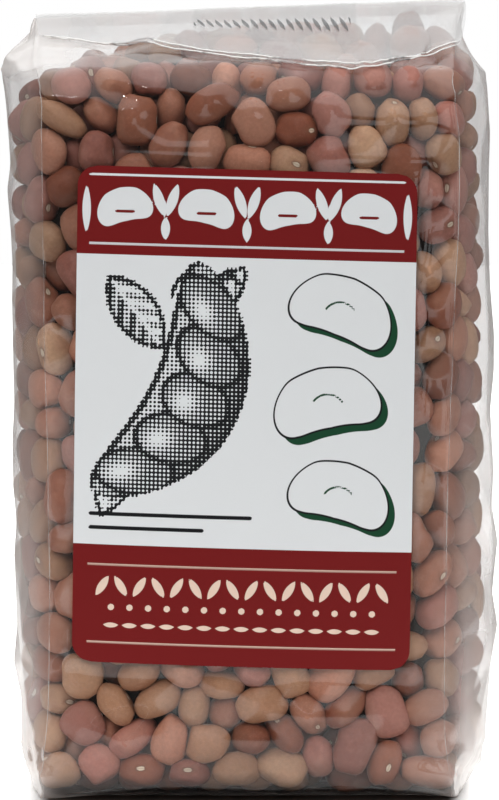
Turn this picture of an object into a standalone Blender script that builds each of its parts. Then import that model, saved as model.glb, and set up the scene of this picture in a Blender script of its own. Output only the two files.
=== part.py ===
"""Clear block-bottom bag filled with dried beans, its top folded forward into a flap.

Metres, +Z up. The front of the bag faces -Y. The origin is on the floor, under
the middle of the bag. The bag is modelled filled, as one solid out to the film:
a tucked block bottom, slightly bulged walls between four creased corners,
shoulders, a sloping roof, and the folded top lying on that roof. The front
label and the strip that seals the flap are thin separate pieces.
"""

import math

import bmesh
import bpy
import numpy as np
from mathutils import Vector

MM = 0.001

# Driving sizes, in millimetres
BAG_HEIGHT = 149.8  # floor to the fold along the top, before the top's tilt
TOP_TILT = 0.0365  # the fold rises this much per mm to the right
TILT_FROM = 136.0  # the tilt grows in above this height
CENTRE_SHIFT = (0.40, 0.087)  # brings the middle of the whole to the origin
WALL_COLUMNS = 60  # points round one section
LABEL_WIDTH = 63.5
LABEL_HEIGHT = 93.4
LABEL_CENTRE_X = -1.3
LABEL_CENTRE_Z = 72.3
LABEL_ROW_TURN_DEG = -1.6  # stuck on slightly askew
LABEL_COLUMN_TURN_DEG = -0.85
LABEL_CORNER = 3.6
LABEL_GAP = 0.35
LABEL_THICK = 0.30
FLAP_HALF_WIDTH = 41.2
FLAP_PROUD = 0.85  # the folded film stands this far above the roof
FLAP_SUNK = 1.10
SEAL_LEFT = -11.5
SEAL_RIGHT = 20.5
SEAL_FRONT_Z = 143.2  # the strip's end on the flap
SEAL_BACK_Z = 104.0  # the strip's end on the back wall
SEAL_GAP = 0.35
SEAL_THICK = 0.30

# The filled bag's sections: height, half widths left and right, front, back, squareness
SECTIONS = (
    (0.0, 41.8, 40.8, -22.8, 22.8, 5.6),
    (0.8, 43.0, 41.9, -23.9, 23.9, 5.5),
    (3.0, 43.9, 43.5, -24.7, 24.7, 5.2),
    (8.0, 44.4, 45.7, -25.2, 25.2, 4.8),
    (20.0, 45.5, 47.0, -25.5, 25.5, 4.3),
    (36.0, 46.6, 47.6, -25.6, 25.6, 4.05),
    (60.0, 46.9, 47.3, -25.6, 25.6, 4.0),
    (90.0, 47.1, 46.8, -25.5, 25.5, 4.0),
    (118.0, 47.5, 46.3, -25.2, 25.3, 4.0),
    (130.0, 47.8, 45.9, -24.4, 25.0, 4.0),
    (135.0, 48.1, 45.9, -22.4, 24.4, 4.0),
    (137.4, 48.4, 45.6, -19.0, 23.8, 3.9),
    (139.8, 48.4, 44.4, -13.0, 23.0, 3.7),
    (142.8, 46.6, 42.0, -5.8, 21.5, 3.9),
    (145.8, 43.9, 41.0, 2.0, 19.2, 4.4),
    (148.4, 42.7, 41.4, 8.6, 15.8, 5.2),
    (BAG_HEIGHT, 42.4, 41.8, 11.2, 13.0, 6.0),
)
RING_HEIGHTS = (
    0.0, 0.3, 0.8, 1.6, 3.0, 5.0, 8.0, 13.0, 20.0, 28.0, 36.0, 48.0, 60.0,
    72.0, 84.0, 96.0, 108.0, 117.0, 124.0, 130.0, 133.0, 135.0, 136.3, 137.4,
    138.6, 139.8, 141.3, 142.8, 144.3, 145.8, 147.2, 148.4, 149.3, BAG_HEIGHT,
)
# The flap's free edge lies on the roof at these heights
FLAP_EDGE = (
    (-46.0, 145.8),
    (-38.0, 144.8),
    (-24.0, 142.9),
    (0.0, 139.1),
    (20.0, 137.6),
    (25.0, 138.1),
    (33.0, 139.7),
    (46.0, 142.9),
)


def monotone(x, xs, ys):
    """Smooth curve through the points that doesn't overshoot them."""
    h = np.diff(xs)
    d = np.diff(ys) / h
    m = np.zeros(len(xs))
    m[0], m[-1] = d[0], d[-1]
    for i in range(1, len(xs) - 1):
        if d[i - 1] * d[i] > 0:
            w1, w2 = 2 * h[i] + h[i - 1], h[i] + 2 * h[i - 1]
            m[i] = (w1 + w2) / (w1 / d[i - 1] + w2 / d[i])
    i = int(np.clip(np.searchsorted(xs, x) - 1, 0, len(xs) - 2))
    t = (x - xs[i]) / h[i]
    return (
        (1 + 2 * t) * (1 - t) ** 2 * ys[i]
        + t * (1 - t) ** 2 * h[i] * m[i]
        + t * t * (3 - 2 * t) * ys[i + 1]
        + t * t * (t - 1) * h[i] * m[i + 1]
    )


def section(z):
    """(left, right, front, back, squareness) of the bag at height z."""
    table = np.array(SECTIONS)
    return [float(monotone(z, table[:, 0], table[:, k])) for k in range(1, 6)]


def quarter(n, count):
    """Evenly spaced points of a unit superellipse's first quarter, from (1, 0) to (0, 1)."""
    t = np.linspace(0, math.pi / 2, 801)
    x, y = np.cos(t) ** (2 / n), np.sin(t) ** (2 / n)
    along = np.concatenate([[0], np.cumsum(np.hypot(np.diff(x), np.diff(y)))])
    at = np.linspace(0, along[-1], count + 1)
    return np.interp(at, along, x), np.interp(at, along, y)


def outline(z, columns=WALL_COLUMNS):
    """The section at height z as points (x, y), anticlockwise from the right side."""
    left, right, front, back, n = section(z)
    per = columns // 4
    qx, qy = quarter(n, per)
    mid, deep = (front + back) / 2, (back - front) / 2
    points = []
    points += [(right * qx[i], mid + deep * qy[i]) for i in range(per)]
    points += [(-left * qx[per - i], mid + deep * qy[per - i]) for i in range(per)]
    points += [(-left * qx[i], mid - deep * qy[i]) for i in range(per)]
    points += [(right * qx[per - i], mid - deep * qy[per - i]) for i in range(per)]
    return points


def wall(x, z, side):
    """y of the front (side -1) or back (side 1) wall at x and height z."""
    left, right, front, back, n = section(z)
    share = min(abs(x) / (right if x > 0 else left), 0.999)
    return (front + back) / 2 + side * (back - front) / 2 * (1 - share**n) ** (1 / n)


def wall_point(x, z, side, off=0.0):
    """A point off mm outside the front or back wall."""
    e = 0.4
    up = min(z + e, BAG_HEIGHT)
    down = up - 2 * e
    dx = (wall(x + e, z, side) - wall(x - e, z, side)) / (2 * e)
    dz = (wall(x, up, side) - wall(x, down, side)) / (2 * e)
    normal = Vector((-side * dx, side, -side * dz)).normalized()
    return Vector((x, wall(x, z, side), z)) + normal * off


def placed(p):
    """Leans the top, whose right end stands higher, and centres the whole on the origin."""
    w = min(max((p.z - TILT_FROM) / (BAG_HEIGHT - TILT_FROM), 0.0), 1.0)
    w = w * w * (3 - 2 * w)
    return Vector((p.x + CENTRE_SHIFT[0], p.y + CENTRE_SHIFT[1], p.z + TOP_TILT * p.x * w))


def flap_edge(x):
    """Height on the roof where the flap's free edge lies: low right of the middle, high at both ends."""
    table = np.array(FLAP_EDGE)
    return float(monotone(x, table[:, 0], table[:, 1]))


def add_object(name, mesh, collection, material=None):
    obj = bpy.data.objects.new(name, mesh)
    collection.objects.link(obj)
    if material:
        mesh.materials.append(material)
    return obj


def make_material(name, colour, roughness, alpha=1.0, transmission=0.0):
    mat = bpy.data.materials.new(name)
    mat.use_nodes = True
    shader = mat.node_tree.nodes["Principled BSDF"]
    shader.inputs["Base Color"].default_value = (*colour, 1.0)
    shader.inputs["Roughness"].default_value = roughness
    shader.inputs["Metallic"].default_value = 0.0
    shader.inputs["Alpha"].default_value = alpha
    shader.inputs["Transmission Weight"].default_value = transmission
    return mat


def bag_mesh():
    """The filled body, lofted through its sections from the flat bottom to the fold along the top."""
    bm = bmesh.new()
    rings = []
    for z in RING_HEIGHTS:
        rings.append([bm.verts.new(placed(Vector((x, y, z))) * MM) for x, y in outline(z)])
    for low, high in zip(rings, rings[1:]):
        for i in range(WALL_COLUMNS):
            j = (i + 1) % WALL_COLUMNS
            bm.faces.new((low[i], low[j], high[j], high[i]))
    bm.faces.new(list(reversed(rings[0])))
    bm.faces.new(rings[-1])
    bmesh.ops.recalc_face_normals(bm, faces=bm.faces)
    mesh = bpy.data.meshes.new("bag")
    bm.to_mesh(mesh)
    bm.free()
    return mesh


def sheet_mesh(name, grid):
    """An open surface from rows of points in millimetres."""
    bm = bmesh.new()
    rows = [[bm.verts.new(p * MM) for p in row] for row in grid]
    for a, b in zip(rows, rows[1:]):
        for i in range(len(a) - 1):
            bm.faces.new((a[i], a[i + 1], b[i + 1], b[i]))
    bm.normal_update()
    mesh = bpy.data.meshes.new(name)
    bm.to_mesh(mesh)
    bm.free()
    return mesh


def flap_grid():
    """The roof's surface from the top fold forward to the flap's free edge, with a short overhang."""
    rows = []
    for s in (0.0, 0.12, 0.3, 0.5, 0.7, 0.86, 1.0, 1.06):
        row = []
        for k in range(25):
            x = -FLAP_HALF_WIDTH + 2 * FLAP_HALF_WIDTH * k / 24
            z = BAG_HEIGHT - 0.5 + (flap_edge(x) - BAG_HEIGHT + 0.5) * min(s, 1.0)
            p = wall_point(x * (1 - 0.02 * s), z, -1)
            if s > 1.0:  # the free edge runs straight on past the shoulder
                before = wall_point(x * (1 - 0.02), z + 0.8, -1)
                p = p + (p - before).normalized() * 1.6
            row.append(placed(p))
        rows.append(row)
    return rows


def label_grid(columns=16, rows=22):
    """The label's outline follows the front wall, a gap away from it. Its corners are rounded by the row ends."""
    along, down = math.radians(LABEL_ROW_TURN_DEG), math.radians(LABEL_COLUMN_TURN_DEG)
    half_w, half_h = LABEL_WIDTH / 2, LABEL_HEIGHT / 2
    heights = [-half_h, -half_h + 0.25, -half_h + 1.1, -half_h + 2.2, -half_h + LABEL_CORNER]
    inner = rows - 2 * len(heights)
    heights += [
        -half_h + LABEL_CORNER + (LABEL_HEIGHT - 2 * LABEL_CORNER) * (k + 1) / (inner + 1)
        for k in range(inner)
    ]
    heights += [-h for h in heights[4::-1]]
    grid = []
    for v in heights:
        into = max(abs(v) - (half_h - LABEL_CORNER), 0.0)
        half = half_w - LABEL_CORNER + math.sqrt(max(LABEL_CORNER**2 - into**2, 0.0))
        row = []
        for k in range(columns + 1):
            u = -half + 2 * half * k / columns
            x = LABEL_CENTRE_X + u * math.cos(along) - v * math.sin(down)
            z = LABEL_CENTRE_Z + u * math.sin(along) + v * math.cos(down)
            row.append(placed(wall_point(x, z, -1, LABEL_GAP)))
        grid.append(row)
    return grid


def seal_grid():
    """A strip from the flap's upper face, over the fold along the top, and down the back wall."""
    flap_off = FLAP_PROUD + SEAL_GAP
    route = []
    for z in (SEAL_FRONT_Z, 144.8, 146.4, 147.9, 149.0):
        route.append((z, -1, flap_off))
    for z in (149.0, 147.8, 145.8, 142.8, 139.0, 133.0, 126.0, 118.5, 111.0, SEAL_BACK_Z):
        route.append((z, 1, SEAL_GAP + (0.55 if z > 147.3 else 0.0)))
    grid = []
    for i, (z, side, off) in enumerate(route):
        row = []
        for k in range(9):
            x = SEAL_RIGHT + (SEAL_LEFT - SEAL_RIGHT) * k / 8
            row.append(placed(wall_point(x, z, side, off)))
        grid.append(row)
        if i == 4:  # over the fold itself
            for y, rise in ((11.0, 1.75), (12.6, 1.75)):
                grid.append(
                    [
                        placed(Vector((SEAL_RIGHT + (SEAL_LEFT - SEAL_RIGHT) * k / 8, y, BAG_HEIGHT + rise)))
                        for k in range(9)
                    ]
                )
    return grid


def thicken(obj, thickness, offset):
    solid = obj.modifiers.new("Thickness", "SOLIDIFY")
    solid.thickness = thickness * MM
    solid.offset = offset
    solid.use_even_offset = True


def facing(mesh, want):
    """Turns the sheet's faces so that they look along want on average."""
    total = Vector((0, 0, 0))
    for face in mesh.polygons:
        total += face.normal * face.area
    if total.dot(want) < 0:
        mesh.flip_normals()


def main():
    for obj in list(bpy.data.objects):
        bpy.data.objects.remove(obj, do_unlink=True)
    parts = bpy.data.collections.new("Bag of dried beans")
    helpers = bpy.data.collections.new("Helpers")
    bpy.context.scene.collection.children.link(parts)
    bpy.context.scene.collection.children.link(helpers)

    beans = make_material("Film over beans", (0.42, 0.24, 0.18), 0.25)
    paper = make_material("Printed label", (0.78, 0.79, 0.80), 0.4)
    clear = make_material("Clear seal strip", (0.82, 0.83, 0.83), 0.2, alpha=0.5)

    root = bpy.data.objects.new("bag_of_dried_beans", None)
    parts.objects.link(root)

    bag = add_object("bag", bag_mesh(), parts, beans)
    bag.parent = root

    flap = add_object("flap_former", sheet_mesh("flap_former", flap_grid()), helpers)
    facing(flap.data, Vector((0, -0.3, 1)))
    thicken(flap, FLAP_PROUD + FLAP_SUNK, (FLAP_PROUD - FLAP_SUNK) / (FLAP_PROUD + FLAP_SUNK))
    flap.hide_render = True
    flap.display_type = "WIRE"
    join = bag.modifiers.new("Folded flap", "BOOLEAN")
    join.operation = "UNION"
    join.solver = "EXACT"
    join.object = flap
    joined = bpy.data.meshes.new_from_object(bag.evaluated_get(bpy.context.evaluated_depsgraph_get()))
    bag.modifiers.clear()
    bag.data = joined

    label = add_object("label_front", sheet_mesh("label_front", label_grid()), parts, paper)
    facing(label.data, Vector((0, -1, 0)))
    thicken(label, LABEL_THICK, 1.0)
    label.parent = root

    seal = add_object("seal_strip", sheet_mesh("seal_strip", seal_grid()), parts, clear)
    facing(seal.data, Vector((0, 1, 0.3)))
    thicken(seal, SEAL_THICK, 1.0)
    seal.parent = root

    for obj in (bag, label, seal):
        obj.data.shade_smooth()
    bag.data.set_sharp_from_angle(angle=math.radians(38))


main()
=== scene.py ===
"""Looks of a clear block-bottom bag of dried beans: every bean, the film, the folded top, the label, the seal."""

import math

import bmesh
import bpy
import numpy as np
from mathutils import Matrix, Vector
from mathutils.bvhtree import BVHTree
from mathutils.geometry import delaunay_2d_cdt


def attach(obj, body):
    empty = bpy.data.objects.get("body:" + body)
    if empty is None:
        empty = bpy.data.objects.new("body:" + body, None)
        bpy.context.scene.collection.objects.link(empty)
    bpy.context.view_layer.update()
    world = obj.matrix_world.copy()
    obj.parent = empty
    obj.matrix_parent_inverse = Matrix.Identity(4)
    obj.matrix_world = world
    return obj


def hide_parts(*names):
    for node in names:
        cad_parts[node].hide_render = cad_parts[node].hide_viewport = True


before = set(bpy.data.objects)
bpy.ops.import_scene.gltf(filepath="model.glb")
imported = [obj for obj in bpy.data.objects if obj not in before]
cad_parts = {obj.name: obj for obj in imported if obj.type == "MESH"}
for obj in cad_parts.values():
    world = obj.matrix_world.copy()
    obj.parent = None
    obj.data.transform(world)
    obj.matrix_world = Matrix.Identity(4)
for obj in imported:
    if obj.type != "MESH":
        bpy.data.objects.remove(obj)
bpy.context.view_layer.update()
MM = 0.001

# ------------------------------------------------------------------ the bag's form, in millimetres

BAG_HEIGHT = 149.8
TOP_TILT = 0.0365
TILT_FROM = 136.0
SHIFT = (0.40, 0.087)

# height, half widths left and right, front, back
SECTIONS = (
    (0.0, 41.8, 40.8, -22.8, 22.8),
    (0.8, 43.0, 41.9, -23.9, 23.9),
    (3.0, 43.9, 43.5, -24.7, 24.7),
    (8.0, 44.4, 45.7, -25.2, 25.2),
    (20.0, 45.5, 47.0, -25.5, 25.5),
    (36.0, 46.6, 47.6, -25.6, 25.6),
    (60.0, 46.9, 47.3, -25.6, 25.6),
    (90.0, 47.1, 46.8, -25.5, 25.5),
    (118.0, 47.5, 46.3, -25.2, 25.3),
    (130.0, 47.8, 45.9, -24.4, 25.0),
    (135.0, 48.1, 45.9, -22.4, 24.4),
    (137.4, 48.4, 45.6, -19.0, 23.8),
    (139.8, 48.4, 44.4, -13.0, 23.0),
    (142.8, 46.6, 42.0, -5.8, 21.5),
    (145.8, 43.9, 41.0, 2.0, 19.2),
    (148.4, 42.7, 41.4, 8.6, 15.8),
    (BAG_HEIGHT, 42.4, 41.8, 11.2, 13.0),
)
# height, how far out the film's creases run left and right of the front and back panels
CREASES = (
    (0.0, 39.9, 38.9),
    (3.0, 39.8, 38.2),
    (8.0, 39.2, 37.0),
    (18.0, 38.3, 36.5),
    (40.0, 38.1, 36.7),
    (60.0, 38.3, 37.1),
    (88.0, 38.9, 38.1),
    (112.0, 39.2, 39.0),
    (123.0, 39.3, 39.2),
    (131.0, 39.4, 38.5),
    (136.0, 40.2, 38.2),
    (141.0, 41.4, 38.8),
    (BAG_HEIGHT, 42.0, 41.2),
)
# height, how far the creases lie in from the front's and back's middle, as a share of the half depth
TUCKS = (
    (0.0, 0.055),
    (3.0, 0.075),
    (10.0, 0.105),
    (25.0, 0.130),
    (60.0, 0.142),
    (120.0, 0.142),
    (135.0, 0.16),
    (140.0, 0.22),
    (146.0, 0.36),
    (BAG_HEIGHT, 0.45),
)


# the label: size, its middle, the turns of its rows and columns, corner radius
LABEL = {"w": 63.5, "h": 93.4, "x": -1.3, "z": 72.3, "row": math.radians(-1.6), "column": math.radians(-0.85), "corner": 3.7}


def label_place(x, z):
    """Where a point of the front lies on the label, from the label's middle."""
    dx, dz = x - LABEL["x"], z - LABEL["z"]
    return dx + dz * math.sin(LABEL["column"]), dz - dx * math.sin(LABEL["row"])


def monotone(x, xs, ys):
    """Smooth curve through the points that doesn't overshoot them; x may be an array."""
    xs, ys = np.asarray(xs, float), np.asarray(ys, float)
    h = np.diff(xs)
    d = np.diff(ys) / h
    m = np.zeros(len(xs))
    m[0], m[-1] = d[0], d[-1]
    for i in range(1, len(xs) - 1):
        if d[i - 1] * d[i] > 0:
            w1, w2 = 2 * h[i] + h[i - 1], h[i] + 2 * h[i - 1]
            m[i] = (w1 + w2) / (w1 / d[i - 1] + w2 / d[i])
    x = np.clip(x, xs[0], xs[-1])
    i = np.clip(np.searchsorted(xs, x) - 1, 0, len(xs) - 2)
    t = (x - xs[i]) / h[i]
    return (
        (1 + 2 * t) * (1 - t) ** 2 * ys[i]
        + t * (1 - t) ** 2 * h[i] * m[i]
        + t * t * (3 - 2 * t) * ys[i + 1]
        + t * t * (t - 1) * h[i] * m[i + 1]
    )


Z_TABLE = np.linspace(0.0, BAG_HEIGHT, 1200)
_s, _c, _t = np.array(SECTIONS), np.array(CREASES), np.array(TUCKS)
FORM = {
    "left": monotone(Z_TABLE, _s[:, 0], _s[:, 1]),
    "right": monotone(Z_TABLE, _s[:, 0], _s[:, 2]),
    "front": monotone(Z_TABLE, _s[:, 0], _s[:, 3]),
    "back": monotone(Z_TABLE, _s[:, 0], _s[:, 4]),
    "cl": monotone(Z_TABLE, _c[:, 0], _c[:, 1]),
    "cr": monotone(Z_TABLE, _c[:, 0], _c[:, 2]),
    "tuck": monotone(Z_TABLE, _t[:, 0], _t[:, 1]),
}


def form(name, z):
    return np.interp(z, Z_TABLE, FORM[name])


def lean(p):
    """The top leans up to the right, and the whole is centred on the origin."""
    p = np.asarray(p, float).copy()
    w = np.clip((p[..., 2] - TILT_FROM) / (BAG_HEIGHT - TILT_FROM), 0, 1)
    p[..., 2] += TOP_TILT * p[..., 0] * (w * w * (3 - 2 * w))
    p[..., 0] += SHIFT[0]
    p[..., 1] += SHIFT[1]
    return p


# Round the bag: 0..1 is the front panel left to right, 1..2 the right side front to back,
# 2..3 the back panel right to left, 3..4 the left side back to front.


def wall(u, z):
    """The point of the film's form at u round the bag and height z."""
    u = np.mod(u, 4.0)
    z = np.clip(z, 0, BAG_HEIGHT)
    left, right, front, back = (form(k, z) for k in ("left", "right", "front", "back"))
    cl, cr, tuck = form("cl", z), form("cr", z), form("tuck", z)
    mid, deep = (front + back) / 2, (back - front) / 2
    which = np.floor(u).astype(int)
    t = u - which
    x = np.zeros(np.broadcast(u, z).shape)
    y = np.zeros_like(x)
    fx = -cl + (cl + cr) * t
    fdrop = tuck * (np.abs(fx) / np.where(fx > 0, cr, cl)) ** 2.3
    s = 2 * t - 1
    side = 1 - np.abs(s) ** 2.0
    x = np.where(which == 0, fx, x)
    y = np.where(which == 0, mid - deep * (1 - fdrop), y)
    x = np.where(which == 1, cr + (right - cr) * side, x)
    y = np.where(which == 1, mid + deep * (1 - tuck) * s, y)
    bx = cr - (cl + cr) * t
    bdrop = tuck * (np.abs(bx) / np.where(bx > 0, cr, cl)) ** 2.3
    x = np.where(which == 2, bx, x)
    y = np.where(which == 2, mid + deep * (1 - bdrop), y)
    x = np.where(which == 3, -cl - (left - cl) * side, x)
    y = np.where(which == 3, mid - deep * (1 - tuck) * s, y)
    return np.stack([x, y, np.broadcast_to(z, x.shape)], -1)


def level(q):
    """Two rough gaps to the form's walls: to the front or back panel, and to a side."""
    z = np.clip(q[:, 2], 0.0, BAG_HEIGHT)
    i = np.clip((z / BAG_HEIGHT * (len(Z_TABLE) - 1) + 0.5).astype(int), 0, len(Z_TABLE) - 1)
    x, y = q[:, 0], q[:, 1]
    front, back, tuck = FORM["front"][i], FORM["back"][i], FORM["tuck"][i]
    mid, deep = (front + back) / 2, (back - front) / 2
    c = np.where(x > 0, FORM["cr"][i], FORM["cl"][i])
    half = np.where(x > 0, FORM["right"][i], FORM["left"][i])
    ax, ay = np.abs(x), np.abs(y - mid)
    yn = ay / np.maximum(deep, 1e-3)
    g1 = deep * (1 - tuck * np.clip(ax / c, 0, 1.15) ** 2.3) - ay
    g2 = c + (half - c) * (1 - np.clip(yn / (1 - tuck), 0, 1.3) ** 2) - ax
    return g1, g2


def inside(p):
    """Roughly how far each point is inside the film's form (large if deep inside), and the direction inward."""
    out = np.full(len(p), 1e3)
    normal = np.zeros_like(p)
    normal[:, 2] = 1
    base = level(p)
    near = np.nonzero(np.minimum(base[0], base[1]) < 9.0)[0]
    q = p[near]
    e = 0.3
    grads = [np.zeros_like(q), np.zeros_like(q)]
    for axis in range(3):
        moved = q.copy()
        moved[:, axis] += e
        up = level(moved)
        moved[:, axis] -= 2 * e
        down = level(moved)
        for k in range(2):
            grads[k][:, axis] = (up[k] - down[k]) / (2 * e)
    best = np.full(len(q), 1e3)
    best_n = np.zeros_like(q)
    for k in range(2):
        size = np.maximum(np.linalg.norm(grads[k], axis=1), 1e-6)
        dist = base[k][near] / size
        better = dist < best
        best = np.where(better, dist, best)
        best_n[better] = (grads[k] / size[:, None])[better]
    out[near] = best
    normal[near] = best_n
    rise = np.maximum(np.clip((np.abs(p[:, 1]) - 15.5) / 7.0, 0, 1), np.clip((np.abs(p[:, 0]) - 34.0) / 9.0, 0, 1))
    floor = p[:, 2] - 0.3 - 2.3 * rise**1.3
    better = floor < out
    out = np.where(better, floor, out)
    normal[better] = (0, 0, 1)
    return out, normal


def heap_top(p):
    """How far each point is below the top of the heap, which is lower towards the left shoulder."""
    x, y = p[:, 0], p[:, 1]
    top = 147.0 - 10.5 * np.clip((-8.0 - x) / 34.0, 0, 1) ** 1.3 - 10.0 * np.clip((x - 38.0) / 5.0, 0, 1)
    top += 0.8 * np.sin(x * 0.21 + 1.0) + 0.6 * np.sin(x * 0.37 + y * 0.2)
    return top - p[:, 2]


def side_gap(p):
    """How far the heap keeps off the film near the sides, mostly on the right."""
    up = np.clip((p[:, 2] - 9.0) / 8.0, 0, 1)
    return up * (2.1 * np.clip((p[:, 0] - 33.0) / 6.0, 0, 1) + 0.9 * np.clip((-36.0 - p[:, 0]) / 5.0, 0, 1))


def behind_label(p):
    """1 for points near the front film under the label, which lies flatter than the rest, else 0."""
    u, v = label_place(p[:, 0], p[:, 2])
    return ((np.abs(u) < LABEL["w"] / 2 + 1) & (np.abs(v) < LABEL["h"] / 2 + 1) & (p[:, 1] < -15)) * 1.0


# ------------------------------------------------------------------ packing the beans

BEAN_COUNT = 1640
SPHERES = np.array(
    [(-0.66, 0, 0.0), (0.66, 0, 0.0), (-0.28, 0, 0.27), (0.28, 0, 0.27), (-0.28, 0, -0.27), (0.28, 0, -0.27)]
)


def bean_sizes(rng, n):
    """Length, width and thickness of each bean."""
    length = np.clip(rng.normal(9.8, 1.05, n), 7.7, 12.6)
    width = np.clip(rng.normal(7.5, 0.48, n) + 0.12 * (length - 9.5), 6.4, 8.7)
    thick = np.clip(rng.normal(6.1, 0.34, n), 5.3, 6.8)
    return np.stack([length, width, thick], -1)


def random_rotations(rng, n):
    q = rng.normal(size=(n, 4))
    q /= np.linalg.norm(q, axis=1)[:, None]
    w, x, y, z = q.T
    return np.stack(
        [
            np.stack([1 - 2 * (y * y + z * z), 2 * (x * y - w * z), 2 * (x * z + w * y)], -1),
            np.stack([2 * (x * y + w * z), 1 - 2 * (x * x + z * z), 2 * (y * z - w * x)], -1),
            np.stack([2 * (x * z - w * y), 2 * (y * z + w * x), 1 - 2 * (x * x + y * y)], -1),
        ],
        1,
    )


def flat_on_film(rng, rot, pts):
    """Beans that start near the film lie with their broad side to it, more or less."""
    depth, inward = inside(pts)
    n = len(pts)
    thin = inward + rng.normal(0, 0.26, (n, 3))
    thin /= np.linalg.norm(thin, axis=1)[:, None]
    long = np.cross(thin, rng.normal(size=(n, 3)))
    long /= np.maximum(np.linalg.norm(long, axis=1), 1e-6)[:, None]
    laid = np.stack([long, thin, np.cross(long, thin)], -1)
    return np.where(((depth < 6.5) & (rng.random(n) < 0.85))[:, None, None], laid, rot)


def near_pairs(p, owner, reach):
    """Index pairs of points of different beans nearer than reach, by sorting them into cells."""
    cell = np.floor((p - p.min(0)) / reach).astype(np.int64) + 1
    dims = cell.max(0) + 2
    key = (cell[:, 0] * dims[1] + cell[:, 1]) * dims[2] + cell[:, 2]
    order = np.argsort(key, kind="stable")
    sorted_key = key[order]
    found_a, found_b = [], []
    n = len(p)
    for dx, dy, dz in [
        (0, 0, 0), (1, 0, 0), (-1, 1, 0), (0, 1, 0), (1, 1, 0), (-1, -1, 1), (0, -1, 1),
        (1, -1, 1), (-1, 0, 1), (0, 0, 1), (1, 0, 1), (-1, 1, 1), (0, 1, 1), (1, 1, 1),
    ]:
        shift = (dx * dims[1] + dy) * dims[2] + dz
        start = np.searchsorted(sorted_key, sorted_key + shift, "left")
        end = np.searchsorted(sorted_key, sorted_key + shift, "right")
        if shift == 0:
            start = np.arange(n) + 1
        count = np.maximum(end - start, 0)
        a = np.repeat(np.arange(n), count)
        first = np.repeat(start, count)
        offset = np.arange(len(a)) - np.repeat(np.cumsum(count) - count, count)
        b = first + offset
        found_a.append(order[a])
        found_b.append(order[b])
    a, b = np.concatenate(found_a), np.concatenate(found_b)
    keep = owner[a] != owner[b]
    a, b = a[keep], b[keep]
    keep = ((p[a] - p[b]) ** 2).sum(1) < reach * reach
    return a[keep], b[keep]


def pack_beans():
    """Beans grown from small until they fill the bag, pushed apart and off the film as rigid pieces."""
    rng = np.random.default_rng(11)
    n = BEAN_COUNT
    sizes = bean_sizes(rng, n)
    # even start: jittered lattice points inside the form
    pitch = 6.92
    pts = []
    gx = np.arange(-46, 46, pitch)
    k = 0
    for z in np.arange(4.0, 143, pitch):
        for y in np.arange(-22.5, 23.5, pitch):
            for x in gx:
                pts.append((x + 0.5 * pitch * (k % 2), y, z))
            k += 1
    pts = np.array(pts) + rng.normal(0, 0.9, (len(pts), 3))
    depth, _ = inside(pts)
    ok = (depth > 1.2) & (heap_top(pts) > 1.2)
    pts = pts[ok]
    chosen = rng.permutation(len(pts))
    if len(pts) < n:
        extra = rng.integers(0, len(pts), n - len(pts))
        pts = np.concatenate([pts[chosen], pts[extra] + rng.normal(0, 2.0, (len(extra), 3))])
    else:
        pts = pts[chosen[:n]]
    c = pts
    rot = flat_on_film(rng, random_rotations(rng, n), c)
    m = len(SPHERES)
    reach = np.stack(
        [sizes[:, 0] - sizes[:, 2], sizes[:, 2] * 0 + 1, sizes[:, 1] - sizes[:, 2]], -1
    )
    local = SPHERES[None] * np.stack([reach[:, 0] / 1.32, reach[:, 1], reach[:, 2] / 0.54], -1)[:, None, :]
    radius = np.repeat(sizes[:, 2] / 2, m)
    owner = np.repeat(np.arange(n), m)
    local -= local.mean(1, keepdims=True)
    steps = 420
    a = b = None
    for step in range(steps):
        grow = min(1.0, 0.55 + 0.45 * step / (steps * 0.62))
        p = c[:, None, :] + np.einsum("nij,nkj->nki", rot, local * grow)
        flat = p.reshape(-1, 3)
        r = radius * grow
        if step % 4 == 0:
            a, b = near_pairs(flat, owner, 7.3)
        diff = flat[a] - flat[b]
        dist = np.sqrt((diff**2).sum(1)) + 1e-9
        over = r[a] + r[b] - dist
        hit = over > 0
        ia, ib = a[hit], b[hit]
        push = diff[hit] / dist[hit][:, None] * (over[hit] * 0.5)[:, None]
        total = len(flat)
        move = np.stack(
            [
                np.bincount(ia, push[:, k], total) - np.bincount(ib, push[:, k], total)
                for k in range(3)
            ],
            -1,
        )
        count = np.bincount(ia, minlength=total) + np.bincount(ib, minlength=total)
        flat = flat + move / np.maximum(count, 1)[:, None] ** 0.6
        near = np.arange(total)
        depth, inward = inside(flat[near])
        poke = r[near] + 0.15 + 0.35 * behind_label(flat) + side_gap(flat) - depth
        flat[near] += inward * np.maximum(poke, 0)[:, None]
        below = heap_top(flat)
        flat[:, 2] -= np.maximum(r * 0.9 - below, 0) * 0.7
        # a slight settling keeps the beans resting on each other
        flat[:, 2] -= 0.004
        q = flat.reshape(n, m, 3)
        c = q.mean(1)
        cov = np.einsum("nki,nkj->nij", q - c[:, None, :], local * grow)
        if step % 2 == 0 or step > steps - 20:
            cov += rot * 1e-3
            uu, _, vt = np.linalg.svd(cov)
            sign = np.sign(np.linalg.det(uu @ vt))
            uu[:, :, 2] *= sign[:, None]
            rot = uu @ vt
    return c, rot, sizes


# ------------------------------------------------------------------ meshes from arrays


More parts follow.
